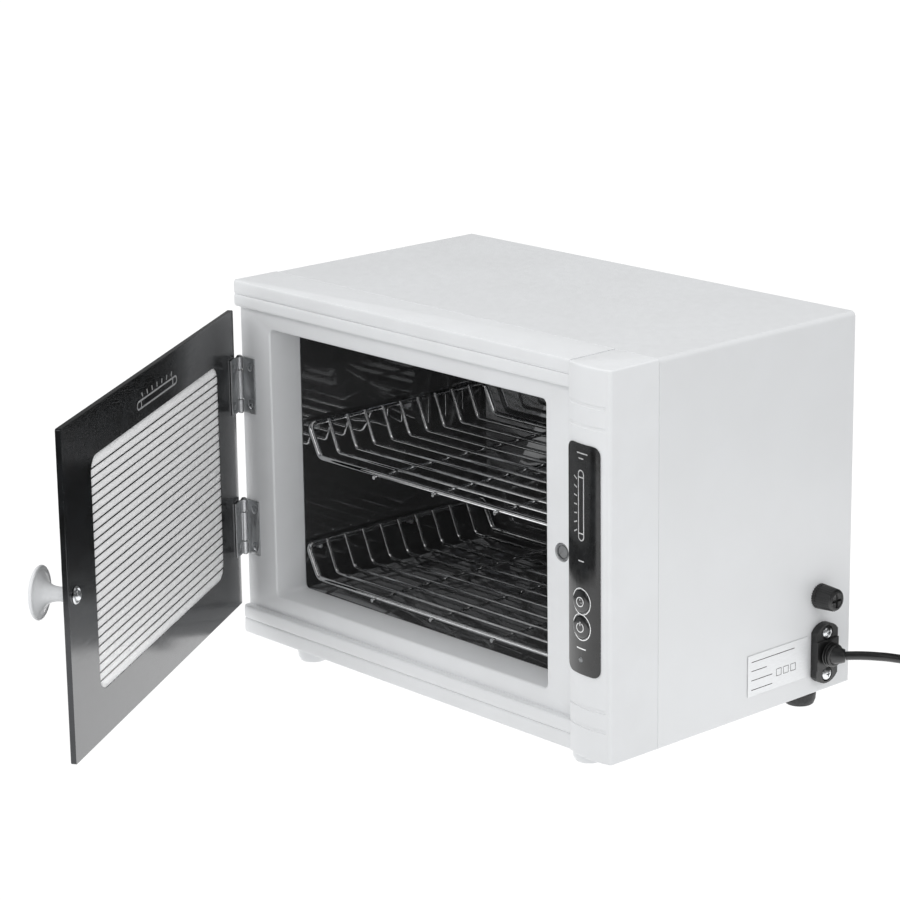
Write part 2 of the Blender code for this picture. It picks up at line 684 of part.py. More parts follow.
def rack(name, deck, front):
    """A wire tray: a frame loop, wires across with both ends bent up, and three wires under them."""
    rear = front + WIRE_PITCH * (WIRE_COUNT + 1)
    rim = deck + RIM_RISE
    left, right = RIM_X
    deck_left, deck_right = left + DECK_INSET, right - DECK_INSET
    corners = [
        (left, front, rim), (deck_left, front, deck), (deck_right, front, deck), (right, front, rim),
        (right, rear, rim), (deck_right, rear, deck), (deck_left, rear, deck), (left, rear, rim),
    ]
    middle_of_rim = (left, (front + rear) / 2, rim)
    loop = fillet([middle_of_rim] + corners + [middle_of_rim], 0.005)[:-1]
    tray = wire(name, [loop], FRAME_WIRE, closed=True, collection=PARTS, finish=CHROME)
    routes = []
    for index in range(1, WIRE_COUNT + 1):
        y = front + WIRE_PITCH * index
        across = [(left, y, rim), (deck_left, y, deck), (deck_right, y, deck), (right, y, rim)]
        routes.append(fillet(across, 0.004, steps=2))
    across_wires = wire(f"{name}_across", routes, RACK_WIRE)
    under = deck - 2 * RACK_WIRE + 0.0004
    straights = [[(x, front - 0.003, under), (x, rear + 0.003, under)] for x in CROSS_WIRES_X]
    under_wires = wire(f"{name}_under", straights, RACK_WIRE)
    return join(tray, across_wires, under_wires)


def racks():
    for name, (deck, front) in RACKS.items():
        rack(f"{name}_rack", deck, front)
        for side, wall, outward in (("left", OPENING_X[0] - LINER_SHEET, -1), ("right", OPENING_X[1] + LINER_SHEET, 1)):
            rim = RIM_X[0] if outward < 0 else RIM_X[1]
            for place, y in PEG_Y.items():
                peg(f"{name}_{side}_{place}_peg", wall + outward * GAP * 2, rim, y, peg_height(deck), outward)


def peg(name, wall, rim, y, z, outward):
    """A screw through the liner's side: its head is outside, its shank carries the rim."""
    inner = abs(wall - rim) - 0.0007
    profile = [(0.0, 0.0020), (0.0028, 0.0018), (0.0030, 0.0), (PEG_RADIUS, 0.0), (PEG_RADIUS, -inner), (0.0, -inner)]
    return turned(name, profile, (wall, y, z), (outward, 0, 0), PARTS, SCREW_STEEL, steps=10)


# Lamp and electrics

def uv_lamp():
    low, high = LAMP_X
    profile = [(0.0, high - low), (0.0078, high - low), (LAMP_RADIUS, high - low - 0.0005), (LAMP_RADIUS, 0.0005),
               (0.0078, 0.0), (0.0, 0.0)]
    lamp = turned("uv_lamp", profile, (low, LAMP_Y, LAMP_Z), (1, 0, 0), PARTS, LAMP_GLASS, steps=24)
    for end, outward in ((low, -1), (high, 1)):
        for offset in (-0.0024, 0.0024):
            z = LAMP_Z + offset
            join(lamp, rod(f"lamp_pin_{outward}_{offset}", (end - outward * 0.001, LAMP_Y, z),
                           (end + outward * 0.006, LAMP_Y, z), 0.0012, sides=8))
    return lamp


def lamp_socket(name, liner_side, lamp_end, outward):
    """A cup on the liner's outside that holds the lamp's end cap and its pins."""
    bottom = lamp_end + outward * 0.009
    depth, seat = abs(bottom - liner_side), abs(bottom - lamp_end)
    ring = [(0.0115, depth), (0.0115, 0.0), (0.0, 0.0), (0.0, 0.0022), (0.0042, 0.0022), (0.0042, seat - GAP),
            (0.0085, seat - GAP), (0.0085, depth), (0.0115, depth)]
    return turned(name, ring, (bottom, LAMP_Y, LAMP_Z), (-outward, 0, 0), PARTS, LAMP_HOLDER, steps=20)


def electrics():
    liner_left, liner_right = OPENING_X[0] - GAP - LINER_SHEET, OPENING_X[1] + GAP + LINER_SHEET
    lamp_socket("lamp_socket_left", liner_left - GAP, LAMP_X[0], -1)
    lamp_socket("lamp_socket_right", liner_right + GAP, LAMP_X[1], 1)
    round_edges(box("ballast", (0.114, -0.030, PAN_SHEET + GAP), (0.142, 0.055, PAN_SHEET + 0.024), PARTS,
                    BALLAST_CAN), 0.002)
    board_y = FRONT + 0.0140
    board = box("control_board", (0.1335, board_y, 0.045), (0.1590, board_y + 0.0016, 0.120), PARTS, BOARD_GREEN)
    for index, (low, high) in enumerate((((0.137, 0.100), (0.156, 0.116)), ((0.139, 0.0475), (0.149, 0.0535)))):
        join(board, box(f"board_part_{index}", (low[0], board_y + 0.0010, low[1]),
                        (high[0], board_y + 0.0090, high[1])))
    return board


# Controls

def control_label():
    low, high = LABEL_X
    front = pillar_curve(low, high, 8, GAP + LABEL_SHEET)
    back = pillar_curve(low, high, 8, GAP)
    label = plate("control_label", front + list(reversed(back)), *lying(*LABEL_Z), PARTS, LABEL_FILM)
    trimmed = plate("label_outline", rounded_rectangle((low, -LABEL_Z[1]), (high, -LABEL_Z[0]), 0.005), 0.03,
                    Matrix.Rotation(math.radians(-90), 4, "X") @ Matrix.Translation((0, 0, -0.100)))
    combine(label, "INTERSECT", trimmed)
    for name, z in BUTTONS.items():
        cut(label, rod(f"label_{name}_hole", (BUTTON_X, -0.12, z), (BUTTON_X, -0.09, z), BUTTON_RADIUS + GAP))
    cut(label, rod("label_led_hole", (LED_X, -0.12, LED_Z), (LED_X, -0.09, LED_Z), 0.0018, sides=12))
    return label


def buttons():
    """Each button is a round cap with a stem that stops short of the control board."""
    face = pillar_front(BUTTON_X) - GAP - LABEL_SHEET - 0.0009
    stem_end = FRONT + 0.0140 - 0.0012
    for name, z in BUTTONS.items():
        depth = stem_end - face
        profile = [(0.0, 0.0), (0.0060, 0.0), (BUTTON_RADIUS, -0.0005), (BUTTON_RADIUS, -0.0060), (0.0025, -0.0060),
                   (0.0025, -depth), (0.0, -depth)]
        turned(f"button_{name}", profile, (BUTTON_X, face, z), (0, -1, 0), PARTS, BLACK_PLASTIC, steps=28)


def indicator_led():
    face = pillar_front(LED_X) - GAP - LABEL_SHEET - 0.0005
    depth = FRONT + 0.0140 - GAP - face
    profile = [(0.0, 0.0), (0.0008, -0.0002), (0.0015, -0.0008), (0.0015, -depth), (0.0, -depth)]
    return turned("indicator_led", profile, (LED_X, face, LED_Z), (0, -1, 0), PARTS, LED_LENS, steps=12)


def door_magnet():
    return rod("door_magnet", (MAGNET_X, RECESS_Y + 0.0008, KNOB_Z), (MAGNET_X, RECESS_Y + 0.0088, KNOB_Z),
               MAGNET_RADIUS, PARTS, SCREW_STEEL)


# Right-hand side

def fuse_holder():
    side = HALF_WIDTH + GAP
    ring = [(0.0072, 0.0020), (0.0076, 0.0), (0.0057, 0.0), (0.0057, -0.0270), (0.0, -0.0270), (0.0, -0.0255),
            (0.0034, -0.0255), (0.0034, 0.0020), (0.0072, 0.0020)]
    turned("fuse_holder_body", ring, (side, FUSE_Y, FUSE_Z), (1, 0, 0), PARTS, BLACK_PLASTIC, steps=24)
    start = side + 0.0020 + GAP
    knob = [(0.0, 0.0108), (0.0058, 0.0108), (0.0066, 0.0100), (0.0074, 0.0), (0.0029, 0.0), (0.0029, -0.0040),
            (0.0, -0.0040)]
    cap = turned("fuse_cap", knob, (start, FUSE_Y, FUSE_Z), (1, 0, 0), PARTS, BLACK_PLASTIC, steps=24)
    for index, (half_y, half_z) in enumerate(((0.0040, 0.0007), (0.0007, 0.0040))):
        cut(cap, box(f"fuse_cap_slot_{index}", (start + 0.0092, FUSE_Y - half_y, FUSE_Z - half_z),
                     (start + 0.02, FUSE_Y + half_y, FUSE_Z + half_z)))
    rod("fuse_cartridge", (side - 0.0245, FUSE_Y, FUSE_Z), (side - 0.0045, FUSE_Y, FUSE_Z), 0.0026, PARTS,
        LAMP_GLASS, sides=16)


def cord_clamp():
    """A moulded plate with arched ends, a raised middle and two screws, which the strain relief comes through."""
    (width, height), thick = CLAMP_SIZE, CLAMP_THICK
    base = HALF_WIDTH + GAP
    arch = 0.0048
    half_w, half_h = width / 2, height / 2
    radius = (half_w ** 2 + arch ** 2) / (2 * arch)
    lean = math.degrees(math.asin(half_w / radius))
    outline = arc((0, half_h - radius), radius, 90 - lean, 90 + lean, 8)
    outline += arc((0, radius - half_h), radius, 270 - lean, 270 + lean, 8)
    outline = [(CLAMP_Y + y, CLAMP_Z + z) for y, z in outline]
    made = plate("cord_clamp_plate", outline, thick, facing_x(base + thick / 2), PARTS, BLACK_PLASTIC)
    low, high = CLAMP_RAISED
    raised = box("clamp_raised_middle", (base + 0.001, CLAMP_Y - half_w - 0.0001, CLAMP_Z + low),
                 (base + thick + 0.0007, CLAMP_Y + half_w + 0.0001, CLAMP_Z + high))
    join(made, raised)
    hole = rod("clamp_relief_hole", (base - 0.01, CLAMP_Y, CLAMP_Z), (base + 0.02, CLAMP_Y, CLAMP_Z), 0.0058)
    cut(made, hole)
    for place, end in (("top", 1), ("bottom", -1)):
        z = CLAMP_Z + end * CLAMP_SCREW_APART
        cut(made, rod(f"clamp_{place}_hole", (base - 0.01, CLAMP_Y, z), (base + 0.02, CLAMP_Y, z), 0.0019, sides=16))
        cut(made, rod(f"clamp_{place}_seat", (base + thick - 0.0012, CLAMP_Y, z), (base + 0.02, CLAMP_Y, z), 0.0045))
        head = base + thick - 0.0012 + GAP
        profile = [(0.0, 0.0022), (0.0022, 0.0020), (0.0036, 0.0012), (0.0040, 0.0), (0.0016, 0.0),
                   (0.0016, -0.0100), (0.0, -0.0100)]
        screw = turned(f"clamp_screw_{place}", profile, (head, CLAMP_Y, z), (1, 0, 0), PARTS, SCREW_STEEL, steps=20)
        cross_recess(screw, (head + 0.0022, CLAMP_Y, z), (1, 0, 0), 0.0021, 0.0010)
    return made


def strain_relief():
    """Straight through the plate, then bent towards the back and tapered outside it."""
    centre = (RELIEF_BEND_X, CLAMP_Y + RELIEF_BEND)
    bend = arc(centre, RELIEF_BEND, 270, 270 + RELIEF_TURN, 8)
    route = [Vector((RELIEF_INNER_X, CLAMP_Y, CLAMP_Z))] + [Vector((x, y, CLAMP_Z)) for x, y in bend]
    radii = [0.0055, 0.0055] + [0.0066 - 0.0026 * step / 7 for step in range(8)]
    return wire("strain_relief", [route], 1.0, sides_step=4, collection=PARTS, finish=BLACK_RUBBER, radii=radii)


def power_cord():
    route = smooth_route(CORD_ROUTE, 2.2 * 2 * CORD_RADIUS)
    return wire("power_cord", [route], CORD_RADIUS, sides_step=3, collection=PARTS, finish=CORD_PVC)


def cord_coil():
    """The outer shape of the wound cord: a ring on the surface the cabinet stands on."""
    inner, outer = COIL_RADIUS - COIL_HALF_WIDTH, COIL_RADIUS + COIL_HALF_WIDTH
    height, round_off = COIL_HEIGHT, 0.003
    ring = [(inner + round_off, height), (outer - round_off, height), (outer, height - round_off), (outer, round_off),
            (outer - round_off, 0.0), (inner + round_off, 0.0), (inner, round_off), (inner, height - round_off),
            (inner + round_off, height)]
    coil = turned("cord_coil", ring, (*COIL_CENTRE, FLOOR), (0, 0, 1), PARTS, CORD_PVC, steps=28)
    x, y = COIL_CENTRE
    groove = box("coil_tie_groove", (x - outer - 0.01, y - 0.0040, FLOOR - 0.01),
                 (x - inner + 0.01, y + 0.0040, FLOOR + 0.0013))
    return cut(coil, groove)


def cord_tie():
    """A strap round the coil's turns on its -X side."""
    x, y = COIL_CENTRE
    inner, outer = x - COIL_RADIUS + COIL_HALF_WIDTH + 0.0004, x - COIL_RADIUS - COIL_HALF_WIDTH
    low, high = FLOOR, FLOOR + COIL_HEIGHT
    strap = 0.0010
    tie = box("cord_tie", (outer - GAP - strap, y - 0.0035, low), (inner + GAP + strap, y + 0.0035, high + GAP + strap),
              PARTS, BLACK_RUBBER)
    return cut(tie, box("tie_inside", (outer - GAP, y - 0.01, low + strap), (inner + GAP, y + 0.01, high + GAP)))


def cord_plug():
    """A flat two-pin plug lying on the coil, pins towards +Y."""
    x, y = PLUG_TAIL
    z = FLOOR + COIL_HEIGHT + GAP + 0.0068
    outline = [(-0.0045, 0.0), (0.0045, 0.0), (0.0060, 0.0080), (0.0125, 0.0140), (0.0130, 0.0330), (-0.0130, 0.0330),
               (-0.0125, 0.0140), (-0.0060, 0.0080)]
    outline = [(x + across, y + along) for across, along in outline]
    plug = plate("cord_plug", outline, 0.0136, Matrix.Translation((0, 0, z)), PARTS, BLACK_PLASTIC)
    round_edges(plug, 0.0018)
    for side in (-0.0093, 0.0093):
        join(plug, rod(f"plug_pin_{side}", (x + side, y + 0.030, z), (x + side, y + 0.052, z), 0.0020, sides=12))
    return plug


def feet():
    """Two white feet under the bezel and two rubber ones under the base pan."""
    profile = [(0.0, -GAP), (0.0100, -GAP), (0.0096, -0.0050), (0.0085, FLOOR), (0.0, FLOOR)]
    places = {
        "front_left_foot": (-0.110, FRONT + 0.0124, WHITE_ABS),
        "front_right_foot": (0.132, FRONT + 0.0124, WHITE_ABS),
        "rear_left_foot": (-0.1535, FRONT + 0.1664, BLACK_RUBBER),
        "rear_right_foot": (0.1535, FRONT + 0.1664, BLACK_RUBBER),
    }
    for name, (x, y, finish) in places.items():
        turned(name, profile, (x, y, 0), (0, 0, 1), PARTS, finish, steps=24)


def rating_label():
    return box("rating_label", (HALF_WIDTH + GAP, 0.0098, 0.0120), (HALF_WIDTH + GAP + 0.0002, 0.0620, 0.0370), PARTS,
               SILVER_FILM)


front_bezel()
casing_wrap()
base_pan()
rear_panel()
chamber_liner()
door()
racks()
uv_lamp()
electrics()
control_label()
buttons()
indicator_led()
door_magnet()
fuse_holder()
cord_clamp()
strain_relief()
power_cord()
cord_coil()
cord_tie()
cord_plug()
feet()
rating_label()
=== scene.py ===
"""The looks of a bench-top ultraviolet steriliser cabinet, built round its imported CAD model."""

import json
import math

import bmesh
import bpy
from mathutils import Matrix, Vector


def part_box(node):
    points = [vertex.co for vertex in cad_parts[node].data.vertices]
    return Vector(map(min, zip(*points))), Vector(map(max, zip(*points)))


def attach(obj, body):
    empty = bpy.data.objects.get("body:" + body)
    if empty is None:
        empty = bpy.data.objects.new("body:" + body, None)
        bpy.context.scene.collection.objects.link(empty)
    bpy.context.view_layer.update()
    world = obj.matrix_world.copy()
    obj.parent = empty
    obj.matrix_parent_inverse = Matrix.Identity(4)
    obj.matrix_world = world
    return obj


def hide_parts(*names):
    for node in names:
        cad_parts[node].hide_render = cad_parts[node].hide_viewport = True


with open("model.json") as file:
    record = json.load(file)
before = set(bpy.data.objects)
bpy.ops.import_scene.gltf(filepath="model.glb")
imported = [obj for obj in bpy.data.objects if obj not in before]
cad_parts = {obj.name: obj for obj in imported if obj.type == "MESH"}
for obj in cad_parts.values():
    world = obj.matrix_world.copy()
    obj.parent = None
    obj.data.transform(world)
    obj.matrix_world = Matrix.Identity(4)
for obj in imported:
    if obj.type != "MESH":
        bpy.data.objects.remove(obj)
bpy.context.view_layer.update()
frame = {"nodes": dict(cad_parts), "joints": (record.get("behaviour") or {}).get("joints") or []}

NODES = frame["nodes"]
HINGE = Vector(next(joint for joint in frame["joints"] if joint["name"] == "door_hinge")["pos_m"])
DOOR_OPEN = math.radians(57)
DOOR_SWING = Matrix.Translation((HINGE.x, HINGE.y, 0)) @ Matrix.Rotation(-DOOR_OPEN, 4, "Z")
GAP = 0.0003
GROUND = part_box("cord_coil")[0].z
UPRIGHT = Matrix.Rotation(math.pi / 2, 4, "X")


# Shapes

def link(name, mesh):
    obj = bpy.data.objects.new(name, mesh)
    bpy.context.scene.collection.objects.link(obj)
    return obj


def smooth(obj, angle=35):
    obj.data.shade_smooth()
    obj.data.set_sharp_from_angle(angle=math.radians(angle))
    return obj


def from_bmesh(name, shape, angle=35):
    bmesh.ops.recalc_face_normals(shape, faces=shape.faces)
    mesh = bpy.data.meshes.new(name)
    shape.to_mesh(mesh)
    shape.free()
    return smooth(link(name, mesh), angle)


def loft(name, rings, angle=35):
    """A closed skin through rings that have the same number of points, with flat ends."""
    shape = bmesh.new()
    loops = [[shape.verts.new(point) for point in ring] for ring in rings]
    for low, high in zip(loops, loops[1:]):
        for here in range(len(low)):
            there = (here + 1) % len(low)
            shape.faces.new((low[here], low[there], high[there], high[here]))
    shape.faces.new(list(reversed(loops[0])))
    shape.faces.new(loops[-1])
    return from_bmesh(name, shape, angle)


def prism(name, outline, low, high, matrix=Matrix.Identity(4), angle=35):
    """An outline in (x, y) made solid between two heights, then placed by a matrix."""
    rings = [[matrix @ Vector((x, y, z)) for x, y in outline] for z in (low, high)]
    return loft(name, rings, angle)


def block(name, low, high):
    (x0, y0, z0), (x1, y1, z1) = low, high
    return prism(name, [(x0, y0), (x1, y0), (x1, y1), (x0, y1)], z0, z1)


def facing(centre, direction):
    """A matrix that takes +Z to a direction, at a place."""
    turn = Vector(direction).to_track_quat("Z", "Y").to_matrix().to_4x4()
    return Matrix.Translation(centre) @ turn


def lathe(name, profile, centre, direction, steps=48, angle=35):
    """A turned shape: its profile is (radius, height along the direction), open at the axis or a closed loop."""
    shape = bmesh.new()
    ring = profile[0] == profile[-1]
    points = profile[:-1] if ring else profile
    columns = []
    for step in range(steps):
        turn = 2 * math.pi * step / steps
        columns.append([shape.verts.new((r * math.cos(turn), r * math.sin(turn), h)) for r, h in points])
    spans = len(points) if ring else len(points) - 1
    for step, column in enumerate(columns):
        following = columns[(step + 1) % steps]
        for here in range(spans):
            there = (here + 1) % len(points)
            shape.faces.new((column[here], following[here], following[there], column[there]))
    bmesh.ops.remove_doubles(shape, verts=shape.verts, dist=1e-7)
    bmesh.ops.transform(shape, matrix=facing(centre, direction), verts=shape.verts)
    return from_bmesh(name, shape, angle)


def rod(name, start, end, radius, steps=24):
    start, end = Vector(start), Vector(end)
    reach = (end - start).length
    return lathe(name, [(0, 0), (radius, 0), (radius, reach), (0, reach)], start, end - start, steps)


def arc(centre, radius, start, end, steps):
    """Points on an arc in a plane; the angles are in degrees."""
    angles = [math.radians(start + (end - start) * step / steps) for step in range(steps + 1)]
    return [(centre[0] + radius * math.cos(a), centre[1] + radius * math.sin(a)) for a in angles]


def rounded_rectangle(low, high, radius, steps=8):
    (x0, y0), (x1, y1) = low, high
    corners = ((x1 - radius, y0 + radius, 270), (x1 - radius, y1 - radius, 0),
               (x0 + radius, y1 - radius, 90), (x0 + radius, y0 + radius, 180))
    return [point for x, y, start in corners for point in arc((x, y), radius, start, start + 90, steps)]


def curved(points, steps=4):
    """A smooth line through the points of a profile."""
    places = [Vector(point) for point in points]
    places = [2 * places[0] - places[1]] + places + [2 * places[-1] - places[-2]]
    line = []
    for a, b, c, d in zip(places, places[1:], places[2:], places[3:]):
        for step in range(steps):
            t = step / steps
            line.append(0.5 * (2 * b + t * (c - a) + t ** 2 * (2 * a - 5 * b + 4 * c - d)
                               + t ** 3 * (3 * b - 3 * c + d - a)))
    return [tuple(point) for point in line + [places[-2]]]


def fillet(points, radius, steps=6):
    """An open route with its inner corners rounded."""
    places = [Vector(point) for point in points]
    rounded = [places[0]]
    for before, here, after in zip(places, places[1:], places[2:]):
        back, ahead = (before - here).normalized(), (after - here).normalized()
        reach = radius / math.tan(back.angle(ahead) / 2)
        start, end = here + back * reach, here + ahead * reach
        for step in range(steps + 1):
            t = step / steps
            rounded.append((1 - t) ** 2 * start + 2 * t * (1 - t) * here + t ** 2 * end)
    return rounded + [places[-1]]


def wire(name, routes, radius, closed=False, fineness=3):
    """Round wire along each route, as one curve object with capped ends."""
    curve = bpy.data.curves.new(name, "CURVE")
    curve.dimensions = "3D"
    curve.bevel_depth = radius
    curve.bevel_resolution = fineness
    curve.use_fill_caps = not closed
    for route in routes:
        spline = curve.splines.new("POLY")
        spline.points.add(len(route) - 1)
        for point, place in zip(spline.points, route):
            point.co = (*place, 1.0)
        spline.use_cyclic_u = closed
        spline.use_smooth = True
    return link(name, curve)


def bake(obj, angle=35):
    """Puts the result of an object's modifiers in its mesh."""
    bpy.context.view_layer.update()
    made = bpy.data.meshes.new_from_object(obj.evaluated_get(bpy.context.evaluated_depsgraph_get()))
    obj.modifiers.clear()
    obj.data = made
    return smooth(obj, angle)


def combine(obj, operation, others, angle=35):
    for other in others:
        modifier = obj.modifiers.new(other.name, "BOOLEAN")
        modifier.operation = operation
        modifier.object = other
    bake(obj, angle)
    for other in others:
        bpy.data.objects.remove(other)
    return obj


def cut(obj, *others, angle=35):
    return combine(obj, "DIFFERENCE", others, angle)


def join(obj, *others, angle=35):
    return combine(obj, "UNION", others, angle)


def soften(obj, width, segments=1, limit=35):
    """Eases an object's sharp edges."""
    modifier = obj.modifiers.new("soften", "BEVEL")
    modifier.width = width
    modifier.segments = segments
    modifier.limit_method = "ANGLE"
    modifier.angle_limit = math.radians(limit)
    return bake(obj)


def place(obj, matrix):
    obj.data.transform(matrix)
    return obj


# Materials. The noise is in metres, so a scale of 1000 has features about a millimetre across.

def new_material(name, color, roughness, metallic=0.0, **sockets):
    material = bpy.data.materials.new(name)
    material.use_nodes = True
    inputs = material.node_tree.nodes["Principled BSDF"].inputs
    inputs["Base Color"].default_value = (*color, 1)
    inputs["Roughness"].default_value = roughness
    inputs["Metallic"].default_value = metallic
    for socket, value in sockets.items():
        inputs[socket.replace("_", " ")].default_value = value
    return material


def noise(material, scale, detail=3.0, stretch=(1, 1, 1)):
    """A cloud texture's output, stretched along the axes."""
    nodes, links = material.node_tree.nodes, material.node_tree.links
    coordinates, mapping = nodes.new("ShaderNodeTexCoord"), nodes.new("ShaderNodeMapping")
    cloud = nodes.new("ShaderNodeTexNoise")
    mapping.inputs["Scale"].default_value = stretch
    cloud.inputs["Scale"].default_value = scale
    cloud.inputs["Detail"].default_value = detail
    links.new(coordinates.outputs["Object"], mapping.inputs["Vector"])
    links.new(mapping.outputs["Vector"], cloud.inputs["Vector"])
    return cloud.outputs["Fac"]


def roughen(material, source, low, high):
    """Roughness that follows a texture between two values."""
    nodes, links = material.node_tree.nodes, material.node_tree.links
    spread = nodes.new("ShaderNodeMapRange")
    spread.inputs["From Min"].default_value = 0.3
    spread.inputs["From Max"].default_value = 0.7
    spread.inputs["To Min"].default_value = low
    spread.inputs["To Max"].default_value = high
    links.new(source, spread.inputs["Value"])
    links.new(spread.outputs["Result"], nodes["Principled BSDF"].inputs["Roughness"])


def tint(material, source, first, second, low=0.35, high=0.65):
    """Colour that follows a texture between two colours."""
    nodes, links = material.node_tree.nodes, material.node_tree.links
    ramp = nodes.new("ShaderNodeValToRGB")
    ramp.color_ramp.elements[0].position = low
    ramp.color_ramp.elements[1].position = high
    ramp.color_ramp.elements[0].color = (*first, 1)
    ramp.color_ramp.elements[1].color = (*second, 1)
    links.new(source, ramp.inputs["Fac"])
    links.new(ramp.outputs["Color"], nodes["Principled BSDF"].inputs["Base Color"])


def relief(material, *heights):
    """Bump from (texture, depth in metres) pairs, one on another."""
    nodes, links = material.node_tree.nodes, material.node_tree.links
    normal = None
    for source, depth in heights:
        bump = nodes.new("ShaderNodeBump")
        bump.inputs["Strength"].default_value = 1.0
        bump.inputs["Distance"].default_value = depth
        links.new(source, bump.inputs["Height"])
        if normal:
            links.new(normal, bump.inputs["Normal"])
        normal = bump.outputs["Normal"]
    links.new(normal, nodes["Principled BSDF"].inputs["Normal"])


def grey(value, cool=0.0):
    return value, value * (1 + cool / 2), value * (1 + cool)


def surface(name, slot, tones, tone_noise, rough, rough_noise, heights, metallic=0.0, ramp=(0.35, 0.65), **sockets):
    """A material whose colour, roughness and bumps each follow a noise, and the record's slot that it is for.

    tones and rough are the two ends that the colour and the roughness run between. A noise is (scale, detail,
    stretch), and heights are (depth in metres, scale, detail, stretch); a noise may leave out its last values.
    """
    material = new_material(name, tones[0], sum(rough) / 2, metallic, **sockets)
    tint(material, noise(material, *tone_noise), *tones, *ramp)
    roughen(material, noise(material, *rough_noise), *rough)
    relief(material, *((noise(material, *cloud), depth) for depth, *cloud in heights))
    return material, slot


def brushed_steel(name, level, low, high, stretch=(1, 1, 1)):
    """Stamped steel with fine scratches along one axis and small stains."""
    return surface(name, name, (grey(level * 0.92, 0.03), grey(level, 0.05)), (500, 5), (low, high), (1500, 5, stretch),
                   [(0.0000008, 1500, 5, stretch)], 1.0)


def matt_plastic(name, level, low, high, depth=0.00002):
    """Moulded plastic or rubber with a spark-eroded grain."""
    return surface(name, name, (grey(level * 0.75, 0.04), grey(level * 1.25, 0.10)), (200, 5), (low, high), (700, 4),
                   [(depth, 2600, 3), (0.00003, 150, 2)])


def clear_glass(name, tone, roughness):
    return surface(name, name, (tone, tuple(0.9 * value for value in tone)), (200, 3), (roughness, roughness + 0.06),
                   (400, 3), [(0.00001, 80, 2)], Transmission_Weight=0.75, IOR=1.46)


def painted(name, color, low, high):
    """Lacquered metal or board in one colour, slightly uneven."""
    return surface(name, name, (tuple(0.85 * value for value in color), color), (150, 5), (low, high), (400, 4),
                   [(0.00002, 900, 3)])


# Glossy white ABS with the faint mottle and orange peel of a moulding
WHITE_ABS = surface("moulded_white", "white_abs", (grey(0.765, 0.022), grey(0.785, 0.026)), (40, 4),
                    (0.28, 0.40), (300,), [(0.000012, 900, 2), (0.00003, 60, 2)], Specular_IOR_Level=0.22)
# Powder-coated sheet: a fine orange peel, and slow changes of tone
WHITE_PAINT = surface("painted_white", "white_paint", (grey(0.735, 0.022), grey(0.750, 0.026)), (18, 5),
                      (0.36, 0.50), (200,), [(0.000018, 700, 3), (0.00005, 25, 2)],
                      Coat_Weight=0.1, Coat_Roughness=0.2)
# Polished stainless sheet with faint lengthwise grain and rolling marks. Its tone is kept far darker than polished
# steel, as painted shade that makes the chamber read dark
SHEET_GRAIN = (60, 4, (0.15, 8, 8))
MIRROR = surface("mirror_steel", "mirror_steel", (grey(0.25), grey(0.30, 0.03)), SHEET_GRAIN, (0.02, 0.06), SHEET_GRAIN,
                 [(0.0000006, *SHEET_GRAIN), (0.00003, 14, 1)], 0.86)
HINGE_STEEL = brushed_steel("hinge_steel", 0.44, 0.36, 0.48, (1, 1, 0.06))
SCREW_STEEL = brushed_steel("screw_steel", 0.52, 0.26, 0.40)
MAGNET_STEEL = brushed_steel("magnet_steel", 0.24, 0.26, 0.42)
# Bright chrome plate, with the slight ripple of drawn wire under it
CHROME = surface("chrome", "chrome_wire", (grey(0.50), grey(0.60, 0.02)), (300, 4), (0.03, 0.07), (900, 3),
                 [(0.000003, 400, 3)], 1.0)
# Glossy acrylic over black ink, with hairline scuffs
DOOR_BLACK = surface("gloss_black", "black_print", (grey(0.007), grey(0.013, 0.15)), (90, 5),
                     (0.13, 0.19), (150, 4, (1, 1, 3)), [(0.0000015, 900, 3), (0.00001, 8, 2)],
                     IOR=1.49, Specular_Tint=(0.94, 0.96, 1.0, 1))
# Clear sheet behind a fine halftone screen, which reads as a pale speckled grey
WINDOW = surface("frosted_window", "clear_acrylic", (grey(0.90), grey(0.99)), (1300, 2), (0.36, 0.52), (600, 3),
                 [(0.0000012, 1300, 2)], ramp=(0.30, 0.60), Subsurface_Weight=1.0,
                 Subsurface_Radius=(0.006, 0.006, 0.006), Subsurface_Scale=1.0)
INK = surface("black_ink", "black_print", (grey(0.005), grey(0.012)), (700, 4), (0.14, 0.26), (500, 4),
              [(0.000006, 1500, 3)], Specular_IOR_Level=0.15)
# Laminated black film: glossy, with the soft ripple of a sheet stuck down by hand
LABEL = surface("label_film", "label_film", (grey(0.009), grey(0.016, 0.1)), (120, 4), (0.09, 0.16), (250, 3),
                [(0.00003, 45, 2), (0.000004, 1600, 2)], Specular_IOR_Level=0.35)
SILVER = surface("silver_ink", "silver_film", (grey(0.55), grey(0.72, 0.02)), (1500, 4), (0.28, 0.45), (900, 3),
                 [(0.000006, 2200, 2)], 0.6)
BUTTON_PLASTIC = matt_plastic("button_plastic", 0.020, 0.16, 0.26, 0.000004)
BLACK_PLASTIC = matt_plastic("black_plastic", 0.009, 0.34, 0.50)
BLACK_RUBBER = matt_plastic("black_rubber", 0.008, 0.55, 0.75, 0.00003)
CORD_PVC = matt_plastic("cord_pvc", 0.008, 0.34, 0.48, 0.000012)
# Silver polyester label
FOIL = surface("foil", "silver_film", (grey(0.72, 0.02), grey(0.76, 0.03)), (350, 5, (1, 1, 6)), (0.30, 0.46), (900, 4),
               [(0.00004, 120, 3)], 0.15)
LAMP_GLASS = clear_glass("lamp_glass", (0.80, 0.83, 0.88), 0.05)
FUSE_GLASS = clear_glass("fuse_glass", (0.85, 0.88, 0.88), 0.04)
LED_LENS = clear_glass("led_lens", (0.42, 0.43, 0.44), 0.12)
LAMP_HOLDER = painted("lamp_holder", (0.72, 0.71, 0.66), 0.40, 0.55)
BALLAST = painted("ballast_can", (0.40, 0.41, 0.42), 0.30, 0.45)
BOARD = painted("board_green", (0.03, 0.16, 0.07), 0.30, 0.50)


